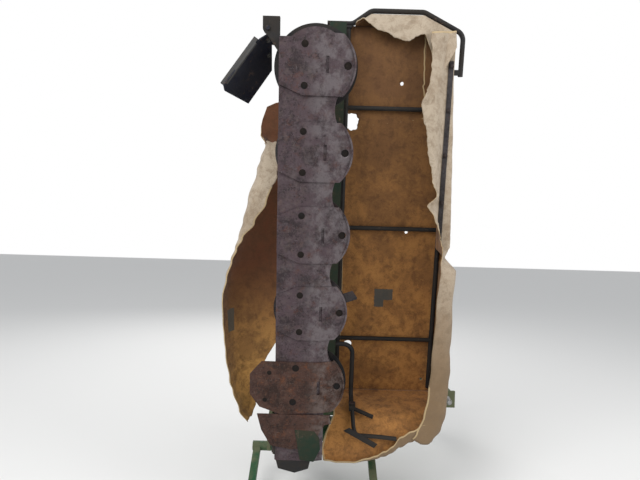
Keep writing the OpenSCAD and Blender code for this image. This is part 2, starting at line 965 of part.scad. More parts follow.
module swing_arm() {
  knuckle = [king_x, king_y];
  sleeve_r = 74;
  cross_w = 90;
  clevis_t = 12;
  arm_wall = 10;
  color(paint_green)
    level() {
      difference() {
        union() {
          translate([king_x, king_y, -75])
            cylinder(r = 56, h = 175);
          hollow_beam([190, -10, 0], [king_x, king_y, 0], arm_w, arm_h, arm_wall);
          pin_x([88, journal_x[1]], [0, 0], sleeve_r);
        }
        translate([king_x, king_y, -90])
          cylinder(r = king_r + fit_gap, h = 220);
        pin_x([70, 420], [0, 0], journal_r + fit_gap);
        pin_x([journal_x[1], 480], [0, 0], 84);
      }
      hollow_beam([-30, cross_y, cross_z], [king_x - 80, cross_y, cross_z], cross_w, cross_w, arm_wall);
      difference() {
        for (x = [cylinder_x[0] - lever_gap - clevis_t, cylinder_x[1] + lever_gap])
          plate_x([x, x + clevis_t])
            union() {
              translate([anchor_y, anchor_z]) circle(r = 34);
              polygon([
                [cross_y - 30, cross_z + 40], [cross_y + 45, cross_z + 40],
                [anchor_y + 34, anchor_z], [anchor_y - 34, anchor_z]
              ]);
            }
        pin_x([-60, 100], [anchor_y, anchor_z], 12 + fit_gap);
      }
      pin_x([cylinder_x[0] - 20, cylinder_x[1] + 20], [anchor_y, anchor_z], 12);
      difference() {
        for (x = [20, 380])
          block([x, x + 14], [cross_y - cross_w / 2, cross_y + 10], [cross_z + 44, input_z]);
        pin_x([0, 420], [input_y, input_z], tube_out + seat);
      }
      difference() {
        union() {
          pin_x([250, 370], stand_yz, stand_tube_r + 12);
          block([290, 330], [stand_yz[0] - 30, stand_yz[0] + 30], [stand_yz[1] + 30, -50]);
        }
        pin_x([240, 380], stand_yz, stand_tube_r + fit_gap);
      }
    }
}

module belt_guard() {
  color(black_paint)
    level()
      plate_x(guard_x)
        belt_outline([0, 0], guard_r, [input_y, input_z], 96);
}

// Tube round the input shaft, with a flange on the belt guard
module drive_tube() {
  color(cast_dark)
    level()
      difference() {
        union() {
          pin_x([guard_x[1], guard_x[1] + 16], [input_y, input_z], 78);
          pin_x([guard_x[1], 430], [input_y, input_z], tube_out);
        }
        pin_x([guard_x[1] - 1, 440], [input_y, input_z], stub_r + 0.45);
        pin_x([10, 400], [input_y, input_z], tube_out - 9);
      }
}

// Open cone that guards the splined stub
module shaft_guard() {
  color(black_paint)
    level()
      translate([405, input_y, input_z])
        rotate([0, 90, 0])
          rotate_extrude()
            polygon([
              [tube_out + seat, 0], [50, 0], [64, 24], [84, 130], [80, 130], [60, 26], [tube_out + seat, 12]
            ]);
}

module input_shaft() {
  color(bare_steel)
    level() {
      pin_x([guard_x[1] + 6, 520], [input_y, input_z], stub_r);
      pin_x([434, 446], [input_y, input_z], 30);
    }
}

// Lift cylinder

rest_pin = lever_r * [cos(lever_angle), sin(lever_angle)];
anchor = [anchor_y, anchor_z];
cylinder_length = norm(rest_pin - anchor);
cylinder_turn = atan2(rest_pin[1] - anchor[1], rest_pin[0] - anchor[0]);

// Draws along X from the anchor and turns it towards the lever pin
module on_cylinder() {
  translate([(cylinder_x[0] + cylinder_x[1]) / 2, anchor_y, anchor_z])
    rotate([cylinder_turn, 0, 0])
      rotate([0, 0, 90])
        children();
}

barrel_end = 460;
barrel_bore = 25;

module lift_barrel() {
  eye = (cylinder_x[1] - cylinder_x[0]) / 2;
  color(black_paint)
    level()
      on_cylinder()
        difference() {
          union() {
            rotate([90, 0, 0])
              translate([0, 0, -eye])
                cylinder(r = 26, h = 2 * eye);
            block([10, 60], [-18, 18], [-18, 18]);
            pin_x([52, barrel_end], [0, 0], 32);
            pin_x([barrel_end - 30, barrel_end], [0, 0], 36);
          }
          rotate([90, 0, 0])
            translate([0, 0, -eye - 1])
              cylinder(r = 12 + fit_gap, h = 2 * eye + 2);
          pin_x([66, barrel_end - 26], [0, 0], barrel_bore);
          pin_x([barrel_end - 30, barrel_end + 1], [0, 0], 16 + fit_gap);
        }
}

module lift_rod() {
  eye = (cylinder_x[1] - cylinder_x[0]) / 2;
  color("#b9bdc1")
    level()
      on_cylinder() {
        pin_x([72, 102], [0, 0], barrel_bore - fit_gap);
        pin_x([100, cylinder_length - 12], [0, 0], 16);
        translate([cylinder_length, 0, 0])
          rotate([90, 0, 0]) {
            translate([0, 0, -eye])
              cylinder(r = 24, h = 2 * eye);
            translate([0, 0, -eye - 20])
              cylinder(r = 12, h = 2 * eye + 40);
          }
      }
}

// Outer stand under the arm, two splayed legs on one tube

module outer_stand() {
  leg_w = 44;
  foot = 60;
  color(paint_green)
    level() {
      pin_x([-rear_foot_x - leg_w / 2 - 8, front_foot_x + leg_w / 2 + 8], stand_yz, stand_tube_r);
      for (x = [-rear_foot_x, front_foot_x]) {
        hollow_beam([x, stand_yz[0], stand_yz[1]], [x, -outer_foot_y, ground_z + 20], leg_w, 40, 5);
        block([x - foot, x + foot], [-outer_foot_y - 45, -outer_foot_y + 55], [ground_z, ground_z + 10]);
      }
    }
}

// Headstock

head_hinge = [1200, -44];

module king_plate(z) {
  plate_z(z)
    difference() {
      union() {
        translate([king_x, king_y]) circle(r = 58);
        polygon([
          [king_x - 40, king_y + 44], [king_x, king_y - 58], [hitch_x - 44, king_y - 90],
          [hitch_x - 44, king_y + 110], [king_x, king_y + 58]
        ]);
      }
      translate([king_x, king_y]) circle(r = king_r + fit_gap);
    }
}

module headstock() {
  half = hitch_span / 2;
  beam_half = 45;
  top_z = hitch_z + mast_h;
  color(paint_green)
    level() {
      hollow_beam([hitch_x, hitch_y - half, hitch_z], [hitch_x, hitch_y + half, hitch_z], 2 * beam_half, 2 * beam_half, 9);
      for (side = [-1, 1])
        block([hitch_x - 60, hitch_x + 60], [hitch_y + side * half - 8, hitch_y + side * half + 8], [hitch_z - 60, hitch_z + 60]);
      king_plate([101, 121]);
      king_plate([-96, -76]);
      block([hitch_x - 55, hitch_x - 44], [king_y - 90, king_y + 110], [-96, 121]);
      for (side = [-1, 1]) {
        hollow_beam([hitch_x, hitch_y + side * 260, hitch_z + 30], [hitch_x - 20, hitch_y + side * 45, top_z - 20], 60, 60, 6);
        difference() {
          plate_y([hitch_y + side * 34 - 6, hitch_y + side * 34 + 6])
            union() {
              translate([hitch_x - 10, top_z]) circle(r = 34);
              polygon([[hitch_x - 60, top_z - 130], [hitch_x + 20, top_z - 130], [hitch_x + 24, top_z], [hitch_x - 44, top_z]]);
            }
          pin_y([hitch_y - 80, hitch_y + 80], [hitch_x - 10, top_z], top_pin_r + fit_gap);
        }
      }
      block([hitch_x - 50, hitch_x + 12], [hitch_y - 100, hitch_y + 100], [top_z - 130, top_z - 80]);
      difference() {
        for (x = [hitch_x - 107, hitch_x - 57])
          plate_x([x, x + 12])
            polygon([
              [head_hinge[0] - 34, 70], [head_hinge[0] + 34, 70], [head_hinge[0] + 30, -66],
              [head_hinge[0] - 30, -66]
            ]);
        pin_x([hitch_x - 120, hitch_x - 40], head_hinge, 12 + fit_gap);
      }
      block([hitch_x - 107, hitch_x - 45], [head_hinge[0] - 34, head_hinge[0] + 34], [58, 70]);
    }
}

module hitch_pins() {
  half = hitch_span / 2;
  color("#b9bdc1")
    level() {
      pin_y([hitch_y - half - 84, hitch_y - half - 8], [hitch_x, hitch_z], link_pin_r);
      pin_y([hitch_y + half + 8, hitch_y + half + 84], [hitch_x, hitch_z], link_pin_r);
      pin_y([hitch_y - 56, hitch_y + 56], [hitch_x - 10, hitch_z + mast_h], top_pin_r);
    }
}

module king_pin() {
  color("#b9bdc1")
    level() {
      translate([king_x, king_y, -110])
        cylinder(r = king_r, h = 246);
      translate([king_x, king_y, 121])
        cylinder(r = king_r + 12, h = 12);
      translate([king_x, king_y, -108])
        cylinder(r = king_r + 12, h = 12);
    }
}

module head_stand() {
  leg = [hitch_x - 92, hitch_x - 60];
  x = (leg[0] + leg[1]) / 2;
  color(paint_green)
    level() {
      pin_x([hitch_x - 112, hitch_x - 46], head_hinge, 12);
      pin_x(leg, head_hinge, 26);
      beam([x, head_hinge[0], head_hinge[1] - 6], [x, head_foot_y, ground_z + 6], leg[1] - leg[0] - 2, 40);
      block([x - 60, x + 60], [head_foot_y - 60, head_foot_y + 60], [ground_z, ground_z + 10]);
    }
}

headstock();
hitch_pins();
king_pin();
head_stand();
swing_arm();
belt_guard();
drive_tube();
shaft_guard();
input_shaft();
outer_stand();
lift_barrel();
lift_rod();
cutter_bar();
skids();
inner_shoe();
outer_shoe();
bar_gearbox();
hanger();
cover_beam();
inner_tube();
inner_canvas();
rear_canvas();
front_frame();
front_strip();
front_canvas();
outer_hoop();
swath_board();
board_bracket();
disc_1();
disc_2();
disc_3();
disc_4();
disc_5();
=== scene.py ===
import math

import bmesh
import bpy
from mathutils import Matrix, Vector, noise


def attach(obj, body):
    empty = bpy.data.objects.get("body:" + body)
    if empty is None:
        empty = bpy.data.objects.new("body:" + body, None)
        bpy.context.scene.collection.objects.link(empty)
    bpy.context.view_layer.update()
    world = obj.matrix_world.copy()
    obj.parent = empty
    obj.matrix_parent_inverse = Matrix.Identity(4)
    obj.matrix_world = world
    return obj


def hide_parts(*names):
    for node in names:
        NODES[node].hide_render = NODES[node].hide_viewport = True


bl_info = {
    "name": "Folded Disc Mower",
    "version": (1, 0, 0),
    "blender": (4, 5, 0),
    "location": "View3D > Sidebar > Mower",
    "description": "Canvas covers, fasteners, finishes and stage of a folded disc mower",
    "category": "Object",
}

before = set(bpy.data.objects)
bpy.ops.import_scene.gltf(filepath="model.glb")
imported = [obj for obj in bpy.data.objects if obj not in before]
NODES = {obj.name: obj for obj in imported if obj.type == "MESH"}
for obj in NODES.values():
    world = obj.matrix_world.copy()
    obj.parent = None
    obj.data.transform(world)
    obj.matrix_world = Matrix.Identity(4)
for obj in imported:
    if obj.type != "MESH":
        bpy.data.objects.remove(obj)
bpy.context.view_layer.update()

UP = (0, 0, 1)
DOWN = (0, 0, -1)

# The fold pivot, in metres: forward of the origin, to its left, and above the floor.
# Places below are about it: x forwards, y towards the machine's inner end, z up, with the bar at work
PIVOT = Vector((-0.2725, -0.3235, 0.42))
LEVEL = Matrix.Translation(PIVOT)
FOLDED = LEVEL @ Matrix.Rotation(math.radians(-80), 4, "X")

# Cutter bar and its five discs. The first and the last have drums, with a height and a bolt circle each
GROUND = -0.42
BAR_BOTTOM = -0.412
BAR_TOP = -0.352
DISC_YS = [-0.48 - 0.4 * k for k in range(5)]
DISC_HEIGHT = 0.048
DRUMS = {0: (0.150, 0.074), 4: (0.190, 0.090)}
KNIFE_CIRCLE = 0.162

# Skids: where their noses start to rise, how steeply, the dished hole in each nose, and their plate
RIDGE_X = 0.046
NOSE_SLOPE = 0.24
CUP_X = 0.151
SKID_WALL = 0.008

# Front guard's hinges, and how the swath board stands on its pivot
HINGE_YS = (-0.42, -1.31, -2.2)
HINGE_X, HINGE_Z = 0.11, 0.185
BOARD_PIVOT = (-0.225, -2.24, 0)
BOARD_TURN = math.radians(127)
BOARD_LEAN = math.radians(20)

# Inner gearbox's wall, y and z of the belt's upper wheel, middle of the headstock and x of its link pins
GEARBOX_WALL = -0.0645
WHEEL = (0.5, 0.08)
HEAD_Y = 0.95
LINK_X = 1.0

# Angles of six bolts round a circle
SIXTHS = [math.tau * k / 6 for k in range(6)]

# Front cover, seen along the machine, in millimetres, inner end first:
# place along the bar, furthest forward x and z of the curtain, x and z of its hem
FRONT_SECTIONS = [
    (0, 665, -168, 560, -206),
    (-51, 740, -150, 592, -204),
    (-104, 786, -132, 629, -196),
    (-188, 812, -112, 665, -172),
    (-320, 820, -100, 689, -152),
    (-435, 822, -95, 697, -150),
    (-600, 820, -90, 703, -150),
    (-795, 813, -80, 705, -140),
    (-903, 815, -70, 713, -118),
    (-1069, 828, -44, 730, -88),
    (-1151, 842, 10, 742, -52),
]

# Its outer half, which the strip clamps under the rail: place along the bar, furthest forward x of the
# loose cloth round the rail, x and z of the torn hem
STRIP_SECTIONS = [
    (-1040, 846, 726, -80),
    (-1151, 842, 742, -52),
    (-1240, 838, 716, -30),
    (-1330, 834, 690, -6),
    (-1400, 830, 654, 14),
    (-1448, 827, 708, 44),
    (-1554, 822, 682, 60),
    (-1755, 812, 634, 72),
    (-1955, 800, 604, 76),
    (-2150, 790, 640, 86),
    (-2400, 788, 636, 110),
]

# Where each cover stops at an end: share of the way from its rail to its hem, and millimetres along the
# bar, or across it for the curtain
FRONT_INNER_EDGE = [
    (0, -166), (0.62, -166), (0.69, -130), (0.76, -78), (0.82, -48), (0.88, -34), (0.94, -40), (1, -74),
]
REAR_INNER_EDGE = [
    (0, -200), (0.15, -330), (0.36, -500), (0.42, -500), (0.5, -410), (0.57, -307),
    (0.62, -180), (0.7, -90), (0.82, -44), (1, -62),
]
REAR_OUTER_EDGE = [
    (0, -2350), (0.34, -2340), (0.42, -2120), (0.5, -1985), (0.6, -1930), (0.66, -1780), (0.72, -1722),
    (1, -1735),
]
CURTAIN_EDGE = [(0, 150), (0.5, 150), (0.7, 104), (0.86, 84), (1, 104)]

# Rear cover: place along the bar, rearmost x, x and z of its hem
REAR_SECTIONS = [
    (-30, -362, -352, -50),
    (-141, -424, -414, -62),
    (-272, -460, -450, -74),
    (-337, -478, -466, -80),
    (-517, -492, -482, -88),
    (-699, -506, -496, -94),
    (-859, -511, -501, -98),
    (-969, -494, -482, -100),
    (-1070, -462, -446, -102),
    (-1138, -438, -418, -106),
    (-1201, -421, -384, -112),
    (-1292, -398, -317, -120),
    (-1404, -372, -252, -122),
    (-1578, -324, -196, -122),
    (-1637, -304, -190, -120),
    (-1715, -272, -196, -112),
    (-1780, -334, -250, -90),
    (-1860, -370, -300, -60),
    (-1930, -384, -330, -40),
    (-1966, -346, -300, -40),
    (-2160, -284, -240, -30),
    (-2350, -222, -200, -20),
]

# Inner curtain: x, then y of its lower turn, y and z of its hem
INNER_SECTIONS = [
    (60, 20, 8, -206),
    (84, 66, 54, -208),
    (120, 78, 68, -200),
    (172, 92, 82, -194),
    (271, 90, 78, -190),
    (352, 76, 56, -190),
    (402, 64, 38, -194),
    (450, 44, 6, -196),
    (492, 20, -26, -196),
    (541, -10, -82, -190),
    (600, -44, -122, -186),
    (668, -86, -150, -170),
    (730, -128, -164, -150),
    (775, -150, -166, -132),
]

# Torn lower edge of the flap over the hoop, and the hoop's middle line: x and y
FLAP_TEAR = [
    (212, -2462), (237, -2456), (267, -2415), (300, -2396), (337, -2369), (388, -2360), (423, -2339),
    (475, -2319), (515, -2315), (548, -2337), (575, -2352), (604, -2355), (631, -2285), (650, -2253),
    (662, -2161), (700, -2120), (744, -2200), (786, -2290),
]
HOOP_LINE = [(190, -2414), (300, -2484), (600, -2484), (790, -2392)]


def table_at(rows, key):
    """Values of a table between its rows, with its first column as the key."""
    rows = sorted(rows)
    if key <= rows[0][0]:
        return list(rows[0][1:])
    for low, high in zip(rows, rows[1:]):
        if key <= high[0]:
            share = (key - low[0]) / (high[0] - low[0])
            share = share * share * (3 - 2 * share) if len(low) > 2 else share
            return [a + (b - a) * share for a, b in zip(low[1:], high[1:])]
    return list(rows[-1][1:])


def metres_at(rows, place):
    """Values of a table of millimetres at a place in metres."""
    return [value / 1000 for value in table_at(rows, place * 1000)]


def edge_at(rows, share):
    """Where a cover stops, in metres, at a share of the way to its hem."""
    return table_at(rows, share)[0] / 1000


def rounded_path(points, rounds=3):
    """Cuts the corners of an open path, which keeps its two ends."""
    for _ in range(rounds):
        cut = [points[0]]
        for a, b in zip(points, points[1:]):
            cut += [a.lerp(b, 0.25), a.lerp(b, 0.75)]
        points = cut + [points[-1]]
    return points


def along(points, share):
    """The point at a share of a path's length, and the length."""
    steps = [(b - a).length for a, b in zip(points, points[1:])]
    total = sum(steps)
    left = share * total
    for (a, b), step in zip(zip(points, points[1:]), steps):
        if left <= step:
            return a.lerp(b, left / step if step else 0), total
        left -= step
    return points[-1], total


def ripple(a, b, size, seed=0.0):
    """Smooth unevenness over two lengths, with waves of about a size."""
    return noise.noise(Vector((a / size, b / size, seed)))


def clamped(value):
    return max(0.0, min(1.0, value))


def on_circle(radius, angles, middle=(0, 0)):
    """Places at angles round a circle, in the two values of its plane."""
    return [(middle[0] + radius * math.cos(a), middle[1] + radius * math.sin(a)) for a in angles]


# Materials

GROUPS = {}
MATERIALS = {}
DUST = (0.24, 0.19, 0.12)
STAIN = (0.1, 0.045, 0.02)
GREY_PATCH = (0.055, 0.065, 0.062)
PALE_PATCH = (0.3, 0.2, 0.1)
# Painted shade: share of the inside colour left high up on the covers, where they are shaded
INSIDE_TOP_SHADE = (0.36, 0.38, 0.5)


def shade(colour, share):
    """A colour darkened to a share of its light."""
    return tuple(value * share for value in colour)


def make_group(name, results, **values):
    """An empty node group that takes a vector and named values. Returns its tree, inputs and results."""
    tree = bpy.data.node_groups.new(name, "ShaderNodeTree")
    tree.interface.new_socket(name="Vector", in_out="INPUT", socket_type="NodeSocketVector")
    for label, value in values.items():
        socket = tree.interface.new_socket(name=label, in_out="INPUT", socket_type="NodeSocketFloat")
        socket.default_value = value
    for label in results:
        tree.interface.new_socket(name=label, in_out="OUTPUT", socket_type="NodeSocketFloat")
    return tree, tree.nodes.new("NodeGroupInput").outputs, tree.nodes.new("NodeGroupOutput").inputs


def put(tree, kind, links=(), **values):
    """Adds a node, sets its properties and sockets, and links others' outputs into it."""
    node = tree.nodes.new(kind)
    for key, value in values.items():
        if hasattr(node, key):
            setattr(node, key, value)
        else:
            node.inputs[key.replace("_", " ")].default_value = value
    for socket, source in links:
        tree.links.new(source, node.inputs[socket])
    return node


def maths(operation, a, b):
    """A sum or other operation on a socket's value and a second value, in the socket's own tree."""
    tree = (b if isinstance(a, (int, float)) else a).id_data
    node = tree.nodes.new("ShaderNodeMath")
    node.operation = operation
    for socket, value in zip(node.inputs, (a, b)):
        if isinstance(value, (int, float)):
            socket.default_value = value
        else:
            tree.links.new(value, socket)
    return node.outputs[0]


def times(a, b):
    return maths("MULTIPLY", a, b)


def noise_value(vector, scale, detail=6.0, rough=0.6, distortion=0.0):
    return put(vector.id_data, "ShaderNodeTexNoise", [("Vector", vector)], Scale=scale, Detail=detail,
               Roughness=rough, Distortion=distortion).outputs["Fac"]


def ramp(value, low, high):
    """A smooth step of a value from low to high."""
    return put(value.id_data, "ShaderNodeMapRange", [("Value", value)], interpolation_type="SMOOTHSTEP",
               From_Min=low, From_Max=high).outputs["Result"]


def split(vector):
    """The X, Y and Z of a vector."""
    return put(vector.id_data, "ShaderNodeSeparateXYZ", [("Vector", vector)]).outputs


def mixed(share, a, b):
    """Colour a mixed towards colour b."""
    tree = share.id_data
    node = tree.nodes.new("ShaderNodeMix")
    node.data_type = "RGBA"
    for socket, value in ((node.inputs[0], share), (node.inputs[6], a), (node.inputs[7], b)):
        if isinstance(value, (tuple, list)):
            socket.default_value = (*value[:3], 1.0)
        else:
            tree.links.new(value, socket)
    return node.outputs[2]


def layered(base, *layers):
    """Lays colours over a base in turn, each by its share where its mask is full."""
    for mask, share, colour in layers:
        base = mixed(times(mask, share), base, colour)
    return base


def group_in(name, vector, **values):
    """The results of a node group at a vector."""
    tree = vector.id_data
    node = tree.nodes.new("ShaderNodeGroup")
    node.node_tree = GROUPS[name]
    for key, value in values.items():
        node.inputs[key].default_value = value
    tree.links.new(vector, node.inputs["Vector"])
    return node.outputs


def blotches_group():
    """Patches, streaks and specks of dirt or rust, as one mask."""
    tree, given, results = make_group("Blotches", ("Mask", "Specks"), Size=6.0, Amount=0.5)
    wide, fine = (
        put(tree, "ShaderNodeTexNoise", [("Vector", given["Vector"]), ("Scale", size)],
            Detail=detail, Roughness=rough, Distortion=distortion).outputs["Fac"]
        for size, detail, rough, distortion in (
            (given["Size"], 9.0, 0.68, 0.4), (times(given["Size"], 9.0), 5.0, 0.7, 0.0)))
    both = maths("ADD", times(wide, 0.75), times(fine, 0.25))
    low = maths("ADD", times(maths("SUBTRACT", 1.0, given["Amount"]), 0.4), 0.24)
    mask = put(tree, "ShaderNodeMapRange", [
        ("Value", both), ("From Min", low), ("From Max", maths("ADD", low, 0.16))],
        interpolation_type="SMOOTHSTEP")
    tree.links.new(mask.outputs["Result"], results["Mask"])
    tree.links.new(ramp(fine, 0.56, 0.66), results["Specks"])
    return tree


def scratches_group():
    """Long scratches that run along X and Z, as stones and stubble leave them."""
    tree, given, results = make_group("Scratches", ("Mask",), Density=30.0)
    masks = []
    for stretch in ((1.0, 14.0, 14.0), (9.0, 9.0, 0.8)):
        turned = put(tree, "ShaderNodeMapping", [("Vector", given["Vector"])],
                     Scale=stretch, Rotation=(0.1, 0.07, 0.2))
        lines = put(tree, "ShaderNodeTexNoise", [
            ("Vector", turned.outputs["Vector"]), ("Scale", given["Density"])], Detail=3.0, Roughness=0.55)
        masks.append(ramp(lines.outputs["Fac"], 0.62, 0.7))
    tree.links.new(maths("MAXIMUM", *masks), results["Mask"])
    return tree


def weave_group():
    """Crossed threads under a rubbed coating, as a height."""
    tree, given, results = make_group("Coated weave", ("Height",), Threads=900.0)
    crossed = times(*(
        put(tree, "ShaderNodeTexWave", [("Vector", given["Vector"]), ("Scale", given["Threads"])],
            wave_type="BANDS", bands_direction=direction, Distortion=0.6).outputs["Fac"]
        for direction in ("X", "Y")))
    lumps = noise_value(given["Vector"], 38.0, 4.0)
    tree.links.new(maths("ADD", times(crossed, 0.35), lumps), results["Height"])
    return tree


def patch_group():
    """Mask of one upright rectangle on a sheet's own UV map, its edge a little frayed."""
    tree, given, results = make_group("Patch", ("Mask",), Left=0.0, Right=0.0, Low=0.0, High=0.0)
    fray = times(maths("SUBTRACT", noise_value(given["Vector"], 60.0), 0.5), 0.012)
    mask = 1.0
    for axis, low, high in (("X", "Left", "Right"), ("Y", "Low", "High")):
        value = maths("ADD", split(given["Vector"])[axis], fray)
        mask = times(mask, maths("GREATER_THAN", value, given[low]))
        mask = times(mask, maths("LESS_THAN", value, given[high]))
    tree.links.new(mask, results["Mask"])
    return tree


def start_material(name):
    """A new material, the sockets of its Principled BSDF and its object coordinates."""
    material = bpy.data.materials.new(name)
    material.use_nodes = True
    tree = material.node_tree
    shader = tree.nodes["Principled BSDF"].inputs
    shader["Specular IOR Level"].default_value = 0.22
    return material, shader, tree.nodes.new("ShaderNodeTexCoord").outputs["Object"]


def finish_shader(shader, height=None, strength=0.5, distance=0.002, **looks):
    """Gives a shader its looks, values or plain numbers, and its bumps."""
    for key, value in looks.items():
        socket = shader[key.replace("_", " ")]
        if isinstance(value, float):
            socket.default_value = value
        else:
            socket.id_data.links.new(value, socket)
    if height:
        tree = height.id_data
        node = put(tree, "ShaderNodeBump", [("Height", height)], Strength=strength, Distance=distance)
        tree.links.new(node.outputs["Normal"], shader["Normal"])


def painted(name, colour, dust, chips=0.34, rough=0.42, size=5.0):
    """Farm paint: chipped to dull steel, with dust in blotches."""
    material, shader, vector = start_material(name)
    spots = group_in("blotches", vector, Size=size, Amount=chips)
    dirt = group_in("blotches", vector, Size=size * 0.5, Amount=0.62)["Mask"]
    scratch = group_in("scratches", vector, Density=26.0)["Mask"]
    chipped = times(spots["Mask"], maths("MAXIMUM", scratch, spots["Specks"]))
    finish_shader(
        shader, maths("SUBTRACT", dirt, chipped), 0.25, 0.001,
        Base_Color=layered(colour, (dirt, 0.45, dust), (chipped, 0.8, (0.11, 0.07, 0.05))),
        Roughness=maths("ADD", times(dirt, 0.3), rough))
    return material


def rusty_steel(name, colour, rust, grey, wear, size, dust=(0.105, 0.078, 0.07), nose=None):
    """Bare ground steel: dark rust skin, dry dust, specks, and grey where stones rub it.

    nose is the range of X over which its tips turn bright.
    """
    material, shader, vector = start_material(name)
    cloud, patch, rubbed, dry = (
        group_in("blotches", vector, Size=size * scale, Amount=amount)
        for scale, amount in ((1.0, 0.5), (2.4, 0.3), (1.3, wear), (3.1, 0.4)))
    scratch = group_in("scratches", vector, Density=34.0)["Mask"]
    base = layered(
        colour,
        (cloud["Mask"], 0.85, shade(colour, 0.3)),
        (patch["Mask"], 0.75, rust),
        (dry["Mask"], 0.42, dust),
        (dry["Specks"], 0.3, dust),
        (cloud["Specks"], 0.7, (0.012, 0.009, 0.008)))
    shine = maths("MAXIMUM", times(rubbed["Mask"], 0.4), times(scratch, 0.5))
    if nose:
        uneven = ramp(noise_value(vector, 11.0, 8.0, 0.75), 0.42, 0.6)
        tip = times(ramp(split(vector)["X"], *nose), uneven)
        shine = maths("MAXIMUM", shine, times(tip, 0.8))
    pits = noise_value(vector, 60.0, 8.0, 0.7)
    finish_shader(
        shader, maths("SUBTRACT", pits, times(scratch, 0.4)), 0.7,
        Base_Color=mixed(shine, base, grey), Metallic=times(shine, 0.4),
        Roughness=maths("SUBTRACT", 0.66, times(shine, 0.42)))
    return material


def canvas(name, colour, high, reach, stain, hem, stained, patches=()):
    """Coated canvas with stains, a pale sewn hem, stitches and square patches.

    Over the heights of reach its colour turns to high. This change is painted shade: the inside darkens
    towards the top, the outside low down.
    """
    material, shader, vector = start_material(name)
    cloth_map, edge_map = (
        put(vector.id_data, "ShaderNodeUVMap", uv_map=key).outputs["UV"] for key in ("cloth", "edges"))
    wide, small, dots = (
        group_in("blotches", vector, Size=size, Amount=amount)
        for size, amount in ((4.5, stained), (20.0, 0.46), (30.0, 0.3)))
    base = layered(
        # Painted shade: the colour changes with height, from colour low down to high above
        mixed(ramp(split(vector)["Z"], *reach), colour, high),
        (wide["Mask"], 0.5, stain),
        (small["Mask"], 0.5, shade(stain, 0.7)),
        (dots["Specks"], 0.55, shade(stain, 0.4)))
    for left, right, bottom, top, cloth_colour in patches:
        spot = group_in("patch", cloth_map, Left=left, Right=right, Low=bottom, High=top)
        base = layered(base, (spot["Mask"], 0.88, cloth_colour))
    border = split(edge_map)["X"]
    wobble = times(maths("SUBTRACT", noise_value(vector, 24.0), 0.5), 0.005)
    band = maths("SUBTRACT", 1.0, ramp(maths("ADD", border, wobble), 0.007, 0.011))
    seam = maths("COMPARE", border, 0.0105)
    seam.node.inputs[2].default_value = 0.0015
    weave = group_in("weave", cloth_map, Threads=420.0)["Height"]
    creases = noise_value(vector, 7.0, 7.0, 0.62, 0.8)
    height = maths("ADD", times(weave, 0.5), times(creases, 1.6))
    finish_shader(
        shader, maths("SUBTRACT", height, times(seam, 0.6)), 0.5, 0.004,
        Base_Color=layered(base, (band, 0.8, hem)), Roughness=0.85, Sheen_Weight=0.12)
    return material


def plain_white(name, colour):
    """Stage surface with a faint speckle."""
    material, shader, vector = start_material(name)
    speckle = noise_value(vector, 3.0)
    finish_shader(shader, Roughness=0.9, Base_Color=layered(colour, (speckle, 0.08, shade(colour, 0.94))))
    return material


